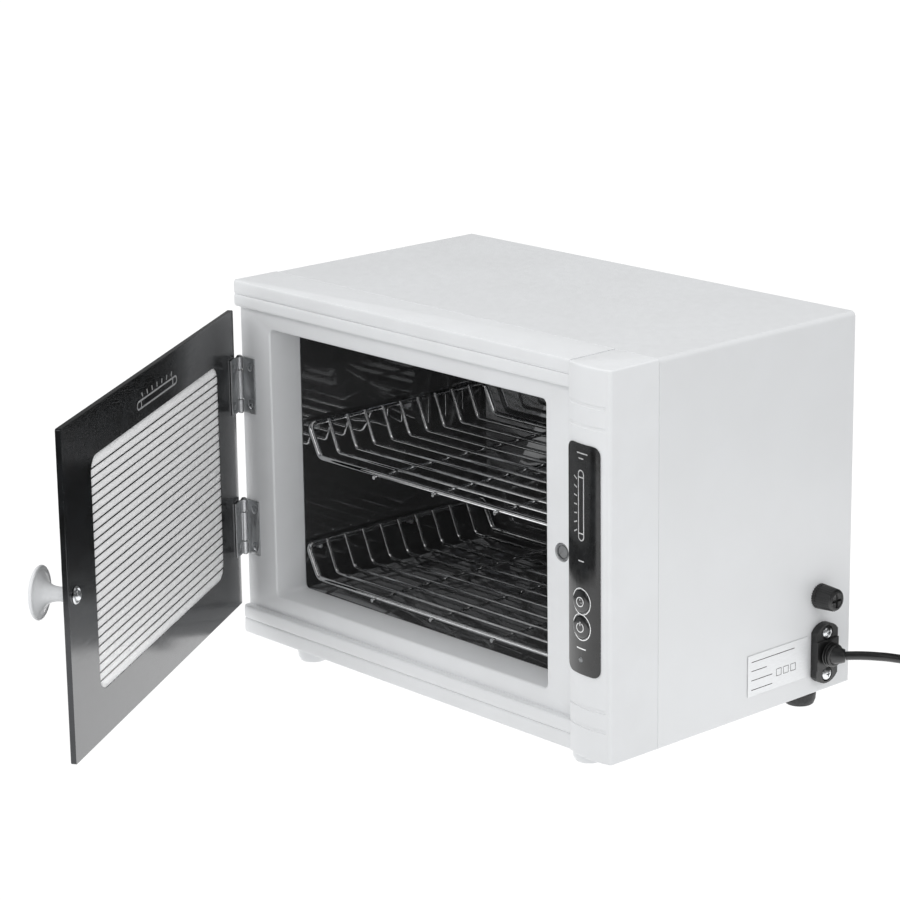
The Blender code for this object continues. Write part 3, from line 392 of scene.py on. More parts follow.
# Putting pieces on the frame

def fit(obj, body, look, *nodes):
    """Gives a piece its material and its body, and hides the CAD nodes that it stands for."""
    material, slot = look
    obj.data.materials.clear()
    obj.data.materials.append(material)
    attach(obj, body)
    if nodes:
        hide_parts(*nodes)
    return obj


def refined(node, body, look, width):
    """A copy of a CAD node with its edges eased."""
    obj = link(node + "_shape", NODES[node].data.copy())
    shape = bmesh.new()
    shape.from_mesh(obj.data)
    bmesh.ops.remove_doubles(shape, verts=shape.verts, dist=2e-6)
    bmesh.ops.dissolve_limit(shape, angle_limit=0.01, verts=shape.verts, edges=shape.edges)
    shape.to_mesh(obj.data)
    shape.free()
    soften(obj, width)
    fit(obj, body, look, node)
    return obj


def cross_recess(head, centre, outward, reach, depth):
    """Cuts a cross recess with tapered wings in a screw's head."""
    turn = facing(centre, outward)
    width = reach * 0.17
    tools = []
    for index in range(2):
        spin = turn @ Matrix.Rotation(index * math.pi / 2, 4, "Z")
        corners = ((-1, -1), (1, -1), (1, 1), (-1, 1))
        rings = [
            [spin @ Vector((x * reach * 0.55, y * width * 0.7, -depth)) for x, y in corners],
            [spin @ Vector((x * reach, y * width, depth)) for x, y in corners],
        ]
        tools.append(loft(f"{head.name}_wing_{index}", rings))
    return cut(head, *tools)


def pan_screw(name, centre, outward, radius, height, matrix=None):
    """A pan head with a cross recess, seated on a plane; the matrix carries it to a moved part."""
    profile = curved([(0, height), (radius * 0.45, height * 0.93), (radius * 0.85, height * 0.55), (radius, 0)], 5)
    profile += [(radius, -height * 0.2), (0, -height * 0.2)]
    head = lathe(name, profile, centre, outward, 40)
    outward = Vector(outward)
    cross_recess(head, Vector(centre) + outward * height, outward, radius * 0.55, height * 0.62)
    return place(head, matrix) if matrix else head


# Camera, floor and light

def add_camera():
    azimuth, elevation, roll = math.radians(47.74), math.radians(15.39), math.radians(-0.81)
    target, distance = Vector((-0.089, 0.011, 0.111)), 1.9548
    back = Vector((math.sin(azimuth) * math.cos(elevation), -math.cos(azimuth) * math.cos(elevation),
                   math.sin(elevation)))
    right = (-back).cross(Vector((0, 0, 1))).normalized()
    up = right.cross(-back)
    turned_right = math.cos(roll) * right + math.sin(roll) * up
    turned_up = math.cos(roll) * up - math.sin(roll) * right
    lens = bpy.data.cameras.new("camera")
    lens.sensor_width = 36
    lens.lens = 124.84
    lens.clip_end = 20
    camera = link("camera", lens)
    turn = Matrix((turned_right, turned_up, back)).transposed()
    camera.matrix_world = Matrix.Translation(target + distance * back) @ turn.to_4x4()
    bpy.context.scene.camera = camera


def glowing_sheet(name, matrix, radiance, half_size=4.0):
    """A square sheet that gives off even white light, and takes no part in lighting matt surfaces."""
    shape = bmesh.new()
    bmesh.ops.create_grid(shape, x_segments=1, y_segments=1, size=half_size)
    sheet = from_bmesh(name, shape)
    sheet.matrix_world = matrix
    material = new_material(name, grey(0.0), 0.9, Specular_IOR_Level=0.0, Emission_Strength=radiance)
    material.node_tree.nodes["Principled BSDF"].inputs["Emission Color"].default_value = (1, 1, 1, 1)
    sheet.data.materials.append(material)
    sheet.visible_diffuse = False
    sheet.visible_shadow = False
    return sheet


def add_floor():
    """A plain white floor, and the brighter table and the sweep that the polished parts mirror."""
    floor = glowing_sheet("floor", Matrix.Translation((0, 0, GROUND - 0.0002)), 1.06)
    floor.visible_glossy = False
    table_place = Matrix.Translation((0.0, -0.15, GROUND - 0.0004))
    table = glowing_sheet("table_in_reflections", table_place, 2.1, 0.55)
    sweep = glowing_sheet("sweep_in_reflections", facing((-3.0, 2.7, 1.0), (3.0, -2.7, 0)), 0.22)
    for mirrored in (table, sweep):
        mirrored.visible_camera = False
        mirrored.visible_transmission = False


def soft_box(name, position, target, size, power):
    light = bpy.data.lights.new(name, "AREA")
    light.shape = "RECTANGLE"
    light.size, light.size_y = size
    light.energy = power
    lamp = link(name, light)
    lamp.matrix_world = facing(position, Vector(position) - Vector(target))
    return lamp


def add_light():
    scene = bpy.context.scene
    scene.view_settings.view_transform = "Standard"
    scene.world = bpy.data.worlds.new("studio")
    scene.world.use_nodes = True
    background = scene.world.node_tree.nodes["Background"]
    background.inputs["Color"].default_value = (0.985, 0.992, 1.0, 1)
    background.inputs["Strength"].default_value = 0.78
    scene.world.cycles_visibility.glossy = False
    soft_box("overhead", (0.1, 0.1, 2.2), (0, 0, 0.1), (1.6, 1.6), 8)
    soft_box("front", (0.5, -1.9, 1.2), (0, 0, 0.1), (0.9, 0.9), 8.5)
    soft_box("left", (-1.6, -1.6, 1.1), (0, 0, 0.1), (1.0, 1.0), 9).visible_glossy = False
    soft_box("side", (2.0, 0.0, 1.4), (0, 0, 0.1), (1.0, 1.0), 7)


# Cord, wound away beside the cabinet

CORD_RADIUS = 0.00265
CORD_ROUTE = [
    (0.1797, 0.0779, 0.0249), (0.1840, 0.0823, 0.0250), (0.1888, 0.0873, 0.0248), (0.1933, 0.0924, 0.0242),
    (0.1975, 0.0975, 0.0233), (0.2040, 0.1051, 0.0212), (0.2110, 0.1122, 0.0170), (0.2186, 0.1187, 0.0108),
    (0.2267, 0.1245, 0.0042), (0.2352, 0.1297, -0.0013), (0.2440, 0.1345, -0.0042),
]
COIL_LOW, COIL_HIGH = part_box("cord_coil")
COIL_CENTRE = (COIL_LOW + COIL_HIGH) / 2
INNER, MIDDLE, OUTER = 0.0247, 0.0300, 0.0353
BOTTOM, CENTRE, TOP = GROUND + 0.00266, GROUND + 0.00725, GROUND + 0.01184
COIL_SLOTS = [
    (OUTER, BOTTOM), (MIDDLE, BOTTOM), (INNER, BOTTOM), ((INNER + MIDDLE) / 2, CENTRE), ((MIDDLE + OUTER) / 2, CENTRE),
    (MIDDLE, TOP), (OUTER, TOP),
]
# The share of each turn over which it crosses to the next slot
COIL_CROSSINGS = [(0.72, 1.0), (0.72, 1.0), (0.35, 0.60), (0.35, 0.60), (0.35, 0.60), (0.35, 0.60), (2.0, 3.0)]
COIL_START, COIL_TURNS = math.radians(-61), 7 - 14 / 360
JOINING_RADIUS = 0.0412
TIE_ANGLE = math.pi
PLUG_BEND = 0.022
RISE = 0.060


def ease(share):
    share = min(1.0, max(0.0, share))
    return share * share * (3 - 2 * share)


def coil_route(steps=40):
    """The winding: out and in across the bottom layer, back over it, and round once more on top."""
    places = []
    for step in range(1, round(COIL_TURNS * steps) + 1):
        turn = COIL_TURNS * step / round(COIL_TURNS * steps)
        here = min(int(turn), len(COIL_SLOTS) - 1)
        start, end = COIL_CROSSINGS[here]
        share = ease((turn - here - start) / (end - start))
        (radius, height), (next_radius, next_height) = COIL_SLOTS[here], COIL_SLOTS[min(here + 1, 6)]
        radius += share * (next_radius - radius)
        height += share * (next_height - height)
        radius += (JOINING_RADIUS - OUTER) * (1 - ease(turn / 0.14))
        angle = COIL_START + 2 * math.pi * turn
        away = (angle - TIE_ANGLE + math.pi) % (2 * math.pi) - math.pi
        height += 0.0007 * ease(1 - abs(away) / 0.5)
        places.append(Vector((COIL_CENTRE.x + radius * math.cos(angle), COIL_CENTRE.y + radius * math.sin(angle),
                              height)))
    return places


def plug_route(start, heading, end, steps=14):
    """An arc that turns from the last turn's heading to +Y, where the plug's tail is."""
    places = []
    for step in range(1, steps + 1):
        turned = heading + (math.pi / 2 - heading) * step / steps
        across = PLUG_BEND * (math.sin(turned) - math.sin(heading))
        along = PLUG_BEND * (math.cos(heading) - math.cos(turned))
        places.append(Vector((start.x + across, start.y + along, start.z)))
    slip = end - places[-1]
    for step, place in enumerate(places, 1):
        place.x += slip.x * ease(step / steps)
        place.y += slip.y * ease(step / steps)
    return places


def power_cord():
    lead = [Vector(point) for point in curved(CORD_ROUTE, 4)]
    winding = coil_route()
    plug_low, plug_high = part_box("cord_plug")
    tail = Vector(((plug_low.x + plug_high.x) / 2, plug_low.y, (plug_low.z + plug_high.z) / 2))
    heading = COIL_START + 2 * math.pi * COIL_TURNS + math.pi / 2
    heading = (heading + math.pi) % (2 * math.pi) - math.pi
    route = lead + winding + plug_route(winding[-1], heading, tail)
    # The last stretch climbs from the top turn to the height of the plug's tail
    reach = 0.0
    for place, before in zip(reversed(route), reversed(route[:-1])):
        place.z += ease(1 - reach / RISE) * (tail.z - TOP)
        reach += (place - before).length
        if reach > RISE:
            break
    cord = wire("power_cord_line", [route], CORD_RADIUS, fineness=4)
    fit(cord, "cabinet", CORD_PVC, "power_cord", "cord_coil")
    return cord


def cord_tie():
    """A flat strap wrapped once round the turns."""
    low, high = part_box("cord_tie")
    centre_y, width, sheet = (low.y + high.y) / 2, high.y - low.y, 0.0009
    outline = rounded_rectangle((low.x, low.z), (high.x, high.z), 0.0036, 8)
    inside = rounded_rectangle((low.x + sheet, low.z + sheet), (high.x - sheet, high.z - sheet), 0.0028, 8)
    stand = Matrix.Translation((0, centre_y, 0)) @ UPRIGHT
    strap = prism("cord_tie_strap", outline, -width / 2, width / 2, stand)
    cut(strap, prism("tie_inside", inside, -width, width, stand))
    soften(strap, 0.0002)
    return fit(strap, "cabinet", BLACK_RUBBER, "cord_tie")


def cord_plug():
    """A flat moulded two-pin plug: waisted, ribbed at its tail, on round pins with sleeved roots."""
    low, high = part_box("cord_plug")
    x, z = (low.x + high.x) / 2, (low.z + high.z) / 2
    thick, body_end = high.z - low.z, low.y + 0.033
    sections = [
        (0.0, 0.0038, 0.0038), (0.0015, 0.0044, 0.0044), (0.0080, 0.0056, 0.0052), (0.0115, 0.0095, 0.0062),
        (0.0140, 0.0122, 0.0067), (0.0170, 0.0129, 0.0068), (0.0250, 0.0126, 0.0068), (0.0318, 0.0129, 0.0068),
        (0.0330, 0.0120, 0.0060),
    ]
    rings = []
    for along, half_x, half_z in sections:
        half_z = min(half_z, thick / 2)
        ring = rounded_rectangle((-half_x, -half_z), (half_x, half_z), min(half_x, half_z) * 0.62, 5)
        rings.append([(x + across, low.y + along, z + rise) for across, rise in ring])
    body = loft("cord_plug_body", rings, 50)
    for index in range(3):
        along = low.y + 0.0024 + 0.0022 * index
        groove = lathe(f"tail_groove_{index}", [(0.0038, 0), (0.02, 0), (0.02, 0.0008), (0.0038, 0.0008), (0.0038, 0)],
                       (x, along, z), (0, 1, 0), 24)
        cut(body, groove)
    fit(body, "cabinet", BLACK_PLASTIC, "cord_plug")
    pins = []
    for side in (-0.0093, 0.0093):
        profile = [(0, -0.002), (0.0019, -0.002), (0.0019, 0.0100), (0.0020, 0.0101), (0.0020, 0.0180),
                   (0.0012, 0.0190), (0, 0.0190)]
        pins.append(lathe(f"plug_pin_{'left' if side < 0 else 'right'}", profile, (x + side, body_end, z), (0, 1, 0)))
        fit(pins[-1], "cabinet", SCREW_STEEL, "cord_plug")
    return [body] + pins


# Front bezel

BEZEL_LOW, BEZEL_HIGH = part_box("front_bezel")
LINER_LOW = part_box("chamber_liner")[0]
FRONT = -0.099
RECESS_Y = FRONT + 0.005
BEZEL_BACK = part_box("casing_wrap")[0].y - GAP
HALF_WIDTH = BEZEL_HIGH.x
PILLAR_X = 0.130
PILLAR_PROUD = (0.001, 0.0045, 0.0025)
BAND_LOW, BAND_HIGH = 0.0175, 0.2100
BAND_GROOVES = (0.0093, 0.2175)
OPENING_X, OPENING_Z = (-0.1352, 0.1054), (0.0288, 0.1982)
MAGNET_X, KNOB_Z = 0.118, 0.1125
LABEL_X, LABEL_Z, LABEL_SHEET = (0.1305, 0.1575), (0.0495, 0.182), 0.0004
BUTTON_X, BUTTON_RADIUS, BUTTONS = 0.1432, 0.0066, {"timer": 0.0919, "power": 0.0770}
LED_X, LED_Z, LED_RADIUS = 0.1427, 0.0578, 0.0015
CLAMP_Y, CLAMP_Z, CLAMP_FACE_X = 0.0740, 0.0248, 0.1696


def lobe(low, high, depth=0.0011, steps=7):
    """(height, inset) up one rounded lobe of a band."""
    middle, half = (low + high) / 2, (high - low) / 2
    levels = []
    for step in range(-steps, steps + 1):
        across = math.sin(math.pi / 2 * step / steps)
        levels.append((middle + half * across, depth * (1 - (1 - across ** 4) ** 0.25)))
    return levels


def bezel_ring(z, front, side, corner):
    """The bezel's plan at one height, from its back left round the front left corner to the pillar."""
    left, face, right = -HALF_WIDTH + side, FRONT + front, PILLAR_X - 0.0004
    outline = [(left, BEZEL_BACK)] + arc((left + corner, face + corner), corner, 180, 270, 8)
    outline += [(right, face), (right, BEZEL_BACK)]
    return [(x, y, z) for x, y in outline]


def band(low, groove, high, corner=0.003):
    """Levels for bezel_ring up a band of two lobes."""
    return [(z, inset, inset, corner) for z, inset in lobe(low, groove) + lobe(groove, high)[1:]]


def bezel_frame():
    """Ribbed bands above and below a flat door recess, and the reveal round the opening."""
    levels = band(0, BAND_GROOVES[0], BAND_LOW)
    levels += [(z, RECESS_Y - FRONT, 0.0008, 0.0012) for z in (BAND_LOW, BAND_HIGH)]
    levels += band(BAND_HIGH, BAND_GROOVES[1], BEZEL_HIGH.z)
    bezel = loft("bezel_frame", [bezel_ring(*level) for level in levels], 28)
    wall = 0.0025
    hollow = block("bezel_hollow", (-HALF_WIDTH + wall, RECESS_Y + wall, wall),
                   (PILLAR_X - wall, BEZEL_BACK + 0.01, BEZEL_HIGH.z - wall))
    (x0, x1), (z0, z1) = OPENING_X, OPENING_Z
    reveal = block("bezel_reveal", (x0 - 0.002, RECESS_Y + 0.001, z0 - 0.002),
                   (x1 + 0.002, LINER_LOW.y - GAP, z1 + 0.002))
    cut(bezel, hollow)
    join(bezel, reveal)
    # The opening's front edge is rounded, and its back edge is eased by a small chamfer
    depths = [(RECESS_Y - 0.001, 0.0016), (RECESS_Y, 0.0012), (RECESS_Y + 0.0003, 0.0006), (RECESS_Y + 0.0007, 0.0002),
              (RECESS_Y + 0.0012, 0.0), (LINER_LOW.y - 0.0010, 0.0), (LINER_LOW.y + 0.001, 0.0012)]
    rings = []
    for y, flare in depths:
        ring = rounded_rectangle((x0 - flare, z0 - flare), (x1 + flare, z1 + flare), 0.003 + flare, 6)
        rings.append([(x, y, z) for x, z in ring])
    cut(bezel, loft("bezel_opening", rings))
    hole = [(0, 0.006), (0.0050, 0.006), (0.0056, -0.0002), (0.0064, -0.0006), (0, -0.0006)]
    cut(bezel, lathe("magnet_hole", hole, (MAGNET_X, RECESS_Y, KNOB_Z), (0, 1, 0), 40), angle=28)
    fit(bezel, "cabinet", WHITE_ABS, "front_bezel")


def pillar_front(x):
    """How far forward the bowed pillar's face is at x: a parabola through three depths."""
    across = (x - PILLAR_X) / (HALF_WIDTH - PILLAR_X)
    first, middle, last = PILLAR_PROUD
    proud = first + (4 * middle - 3 * first - last) * across + 2 * (first + last - 2 * middle) * across ** 2
    return FRONT - proud


def pillar_curve(low, high, steps, offset=0.0):
    xs = [low + (high - low) * step / steps for step in range(steps + 1)]
    return [(x, pillar_front(x) - offset) for x in xs]


def pillar_ring(z, inset):
    left, right = PILLAR_X + inset, HALF_WIDTH - inset
    small, large = 0.0008, 0.0022
    start, end = pillar_front(left + small) + inset, pillar_front(right - large) + inset
    outline = [(left, BEZEL_BACK)] + arc((left + small, start + small), small, 180, 270, 4)
    outline += [(x, y + inset) for x, y in pillar_curve(left + small, right - large, 16)[1:-1]]
    outline += arc((right - large, end + large), large, 262, 360, 8) + [(right, BEZEL_BACK)]
    return [(x, y, z) for x, y in outline]


def bezel_pillar():
    """The bowed control pillar, with two shallow sunk lines above its label and two below."""
    rounding, height = 0.0012, BEZEL_HIGH.z
    turns = [math.pi / 2 * step / 5 for step in range(6)]
    levels = [(rounding * (1 - math.cos(turn)), rounding * (1 - math.sin(turn))) for turn in turns]
    levels += [(height - z, inset) for z, inset in reversed(levels)]
    pillar = loft("bezel_pillar", [pillar_ring(z, inset) for z, inset in levels], 28)
    for index, z in enumerate((0.0190, 0.0305, 0.1920, 0.2040)):
        rings = []
        for rise, depth, end in ((-0.0013, -0.0001, 0.1598), (-0.0007, 0.00055, 0.1606), (0.0007, 0.00055, 0.1606),
                                 (0.0013, -0.0001, 0.1598)):
            outline = pillar_curve(PILLAR_X - 0.001, end, 12, 0.002)
            outline += reversed(pillar_curve(PILLAR_X - 0.001, end, 12, -depth))
            rings.append([(x, y, z + rise) for x, y in outline])
        cut(pillar, loft(f"pillar_groove_{index}", rings), angle=28)
    fit(pillar, "cabinet", WHITE_ABS, "front_bezel")


def door_magnet():
    """A catch magnet in a steel cup, set just below the recess's face."""
    low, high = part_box("door_magnet")
    radius = (high.x - low.x) / 2
    centre = Vector(((low.x + high.x) / 2, low.y, (low.z + high.z) / 2))
    profile = [(0, 0.0002), (radius * 0.66, 0.0002), (radius * 0.70, 0.0006), (radius * 0.76, 0.0006),
               (radius * 0.80, 0.0), (radius * 0.95, 0.0), (radius, 0.0003), (radius, 0.007), (0, 0.007)]
    magnet = lathe("door_magnet_cup", profile, centre, (0, 1, 0), 48)
    fit(magnet, "cabinet", MAGNET_STEEL, "door_magnet")


# Sheet metal

def casing():
    """One painted sheet folded over the top, down both sides and in under the cabinet."""
    low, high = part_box("casing_wrap")
    sheet, radius, flange = 0.0008, 0.003, 0.021
    half = [(high.x - flange, 0.0)] + arc((high.x - 0.0012, 0.0012), 0.0012, 270, 360, 5)
    half += arc((high.x - radius, high.z - radius), radius, 0, 90, 10)
    outer = half + [(-x, z) for x, z in reversed(half)]
    inside = [(high.x - flange, sheet)] + arc((high.x - 0.0012, 0.0012), 0.0004, 270, 360, 5)
    inside += arc((high.x - radius, high.z - radius), radius - sheet, 0, 90, 10)
    inner = inside + [(-x, z) for x, z in reversed(inside)]
    stand = Matrix.Translation((0, low.y, 0)) @ UPRIGHT
    skin = prism("casing_skin", outer + list(reversed(inner)), low.y - high.y, 0, stand)
    soften(skin, 0.00025, 1, 50)
    fit(skin, "cabinet", WHITE_PAINT, "casing_wrap")


def rear_cover():
    """The back: a plate with slots for air, and six screws."""
    low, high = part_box("rear_panel")
    outline = rounded_rectangle((low.x, low.z), (high.x, high.z), 0.003, 6)
    stand = Matrix.Translation((0, low.y, 0)) @ UPRIGHT
    panel = prism("rear_cover", outline, low.y - high.y, 0, stand)
    for row in range(2):
        for column in range(9):
            x, z = -0.064 + 0.016 * column, 0.172 + 0.020 * row
            slot = rounded_rectangle((x - 0.0015, z - 0.007), (x + 0.0015, z + 0.007), 0.0014, 4)
            cut(panel, prism(f"air_slot_{row}_{column}", slot, -0.01, 0.01, stand))
    soften(panel, 0.0002, 1, 50)
    fit(panel, "cabinet", WHITE_PAINT, "rear_panel")
    spots = [(x, z) for x in (low.x + 0.008, 0.0, high.x - 0.008) for z in (low.z + 0.008, high.z - 0.008)]
    for index, (x, z) in enumerate(spots):
        screw = pan_screw(f"rear_screw_{index}", (x, high.y, z), (0, 1, 0), 0.0031, 0.0016)
        fit(screw, "cabinet", SCREW_STEEL, "rear_panel")


# Door

def shut_box(node, swing=DOOR_SWING):
    """Low and high corners of a node with the door laid out shut, or with another matrix undone."""
    back = swing.inverted()
    points = [back @ vertex.co for vertex in NODES[node].data.vertices]
    return [Vector(pick(point[axis] for point in points) for axis in range(3)) for pick in (min, max)]


DOOR_LOW, DOOR_HIGH = shut_box("door_panel")
PRINT_HIGH = shut_box("door_print")[1]
WINDOW_LOW, WINDOW_HIGH, WINDOW_CORNER = Vector((0.037, 0.0465)), Vector((0.250, 0.1805)), 0.009
KNOB_ALONG = sum(corner.x for corner in shut_box("door_knob")) / 2


def door_slab(name, outline, front, back):
    """An outline in (along the door, height) made solid between two depths of the shut door."""
    return prism(name, outline, -back, -front, UPRIGHT)


def door_panel():
    """The sheet, black but for its window, with eased edges."""
    corner = 0.0012
    outline = rounded_rectangle((DOOR_LOW.x, DOOR_LOW.z), (DOOR_HIGH.x, DOOR_HIGH.z), corner, 5)
    panel = door_slab("door_sheet", outline, DOOR_LOW.y, PRINT_HIGH.y)
    window = rounded_rectangle(WINDOW_LOW, WINDOW_HIGH, WINDOW_CORNER, 12)
    cut(panel, door_slab("window_cut", window, DOOR_LOW.y - 0.01, PRINT_HIGH.y + 0.01))
    soften(panel, 0.00022, 1, 50)
    place(panel, DOOR_SWING)
    fit(panel, "door", DOOR_BLACK, "door_panel")


def door_window():
    inset, sunk = Vector((0.00006, 0.00006)), 0.00003
    outline = rounded_rectangle(WINDOW_LOW + inset, WINDOW_HIGH - inset, WINDOW_CORNER, 12)
    pane = door_slab("door_window", outline, DOOR_LOW.y + sunk, PRINT_HIGH.y - sunk)
    place(pane, DOOR_SWING)
    fit(pane, "door", WINDOW, "door_print")


def window_lines():
    """The fine black lines printed across the window, cut to its rounded corners."""
    count, thick, margin, sunk = 25, 0.00045, 0.0062, 0.00001
    low, high = WINDOW_LOW.y + margin, WINDOW_HIGH.y - margin
    for index in range(count):
        z = low + (high - low) * index / (count - 1)
        edge = min(z - WINDOW_LOW.y, WINDOW_HIGH.y - z)
        pull = 0.0
        if edge < WINDOW_CORNER:
            pull = WINDOW_CORNER - math.sqrt(WINDOW_CORNER ** 2 - (WINDOW_CORNER - edge) ** 2)
        left, right = WINDOW_LOW.x + pull, WINDOW_HIGH.x - pull
        outline = [(left, z - thick), (right, z - thick), (right, z + thick), (left, z + thick)]
        line = door_slab(f"window_line_{index}", outline, DOOR_LOW.y + sunk, PRINT_HIGH.y - sunk)
        place(line, DOOR_SWING)
        fit(line, "door", INK, "door_print")


def door_sign():
    """A lamp sign printed above the window, in place of the word that is there."""
    def on_door(x, z, lift):
        return Vector((x, PRINT_HIGH.y + lift, z))
    sign = ribbon("door_sign", lamp_symbol(0.142, 0.1900, 0.066, 0.0086, False), 0.0010, on_door)
    place(sign, DOOR_SWING)
    fit(sign, "door", SILVER, "door_print")


def door_knob():
    """A white trumpet knob: a domed face, a thick rim and a flare to its stem."""
    low, high = shut_box("door_knob")
    reach = high.y - low.y
    profile = [(0.0, reach), (0.0060, 0.01885), (0.0112, 0.0186), (0.0140, 0.0183), (0.0150, 0.0174),
               (0.0151, 0.0166), (0.0145, 0.0160), (0.0134, 0.0160), (0.0120, 0.0158), (0.0098, 0.0149),
               (0.0074, 0.0134), (0.0057, 0.0114), (0.0046, 0.0090), (0.0041, 0.0060), (0.0040, 0.0015), (0.0043, 0.0)]
    knob = lathe("knob", curved(profile, 4) + [(0, 0)], (KNOB_ALONG, high.y, KNOB_Z), (0, -1, 0), 72)
    place(knob, DOOR_SWING)
    fit(knob, "door", WHITE_ABS, "door_knob")


def knob_fixing():
    """The washer and pan-headed screw on the door's inner face."""
    low, high = shut_box("knob_washer")
    radius, face = (high.x - low.x) / 2 - 0.0005, low.y
    cup = [(0.0018, 0.0005), (0.0034, 0.0005), (0.0040, 0.0010), (0.0046, 0.0009), (radius - 0.0001, 0.0004),
           (radius, 0.0), (0.0018, 0.0), (0.0018, 0.0005)]
    washer = lathe("cup_washer", cup, (KNOB_ALONG, face, KNOB_Z), (0, 1, 0), 56)
    place(washer, DOOR_SWING)
    fit(washer, "door", SCREW_STEEL, "knob_washer")
    head = pan_screw("knob_screw_head", (KNOB_ALONG, face + 0.0007, KNOB_Z), (0, 1, 0), 0.0031, 0.0021, DOOR_SWING)
    fit(head, "door", SCREW_STEEL, "knob_screw")


# Hinges

def hinge_screw(node, on_door):
    """A countersunk head with a cross recess, flush with its leaf."""
    swing = DOOR_SWING if on_door else Matrix.Translation((HINGE.x, HINGE.y, 0))
    low, high = shut_box(node, swing)
    x, z = (low.x + high.x) / 2, (low.z + high.z) / 2
    outward, top = (1, high.y) if on_door else (-1, low.y)
    crown = 0.00035
    profile = [(0, crown), (0.0012, 0.00032), (0.0022, 0.00016), (0.0027, 0.0), (0.0026, -0.0002),
               (0.0011, -0.0010), (0, -0.0010)]
    head = lathe(f"{node}_head", profile, (x, top, z), (0, outward, 0), 36)
    cross_recess(head, (x, top + outward * crown, z), (0, outward, 0), 0.0014, 0.0007)
    place(head, swing)
    fit(head, "door" if on_door else "cabinet", SCREW_STEEL, node)


def hinges():
    """Leaves with grooves where their knuckles meet, their screws, and the pins."""
    end_knuckle, groove = 0.0081, 0.0004
    ring = [(0.0012, -groove), (0.0026, -groove), (0.0026, groove), (0.0012, groove), (0.0012, -groove)]
    for which in ("upper", "lower"):
        low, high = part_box(f"hinge_{which}_door_leaf")
        for node, body in ((f"hinge_{which}_frame_leaf", "cabinet"), (f"hinge_{which}_door_leaf", "door")):
            leaf = refined(node, body, HINGE_STEEL, 0.00018)
            for joint in (low.z + end_knuckle, high.z - end_knuckle):
                cut(leaf, lathe(f"{node}_joint", ring, (HINGE.x, HINGE.y, joint), (0, 0, 1), 32))
        for end in ("top", "bottom"):
            hinge_screw(f"{which}_frame_screw_{end}", False)
            hinge_screw(f"{which}_door_screw_{end}", True)
        low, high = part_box(f"hinge_{which}_pin")
        radius, reach = 0.0017, high.z - low.z
        profile = curved([(0, 0), (radius * 0.7, 0.00015), (radius, 0.0007)], 3) + [(0.0010, 0.0008)]
        profile += [(r, reach - h) for r, h in reversed(profile)]
        pin = lathe(f"hinge_{which}_pin_rod", profile, (HINGE.x, HINGE.y, low.z), (0, 0, 1), 32)
        fit(pin, "cabinet", HINGE_STEEL, f"hinge_{which}_pin")


# Racks

FRAME_WIRE, RACK_WIRE = 0.0018, 0.0012
WIRE_COUNT = 9
CROSS_WIRES_X = (-0.068, -0.015, 0.0385)


def rack(node):
    """A chromed wire tray: a frame loop, wires across with both ends bent up, and three wires under them."""
    low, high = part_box(node)
    left, right = low.x + FRAME_WIRE, high.x - FRAME_WIRE
    rim = high.z - FRAME_WIRE
    under = low.z + RACK_WIRE
    deck = under + 2 * RACK_WIRE - 0.0004
    front, rear = low.y + 0.003, high.y - 0.003
    inset = 0.010
    corners = [
        (left, front, rim), (left + inset, front, deck), (right - inset, front, deck), (right, front, rim),
        (right, rear, rim), (right - inset, rear, deck), (left + inset, rear, deck), (left, rear, rim),
    ]
    middle = (left, (front + rear) / 2, rim)
    loop = fillet([middle] + corners + [middle], 0.005, 8)[:-1]
    fit(wire(f"{node}_frame", [loop], FRAME_WIRE, closed=True, fineness=4), node, CHROME, node)
    routes, lift = [], 0.0012
    for index in range(1, WIRE_COUNT + 1):
        y = front + (rear - front) * index / (WIRE_COUNT + 1)
        across = [(left + FRAME_WIRE * 0.55, y, rim + lift), (left + inset, y, deck), (right - inset, y, deck),
                  (right - FRAME_WIRE * 0.55, y, rim + lift)]
        routes.append(fillet(across, 0.004, 6))
    fit(wire(f"{node}_wires", routes, RACK_WIRE, fineness=3), node, CHROME, node)
    past = 0.003
    unders = [[(x, front - past, under), (x, rear + past, under)] for x in CROSS_WIRES_X]
    fit(wire(f"{node}_under_wires", unders, RACK_WIRE, fineness=3), node, CHROME, node)


def peg(node):
    """A shoulder screw through the chamber's wall: a plain pin inside, a pan head outside."""
    low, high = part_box(node)
    outward = -1 if low.x < 0 else 1
    y, z = (low.y + high.y) / 2, (low.z + high.z) / 2
    head_radius, head_height, radius = 0.0030, 0.0020, 0.0015
    reach = high.x - low.x
    tip = high.x if outward < 0 else low.x
    profile = [(0, 0), (radius - 0.0004, 0), (radius, 0.0004), (radius, reach - head_height),
               (head_radius, reach - head_height), (head_radius, reach - 0.0008), (head_radius * 0.8, reach - 0.0002),
               (0, reach)]
    pin = lathe(f"{node}_pin", profile, (tip, y, z), (outward, 0, 0), 32)
    cross_recess(pin, (tip + outward * reach, y, z), (outward, 0, 0), 0.0016, 0.0009)
    fit(pin, "cabinet", SCREW_STEEL, node)


# Control label

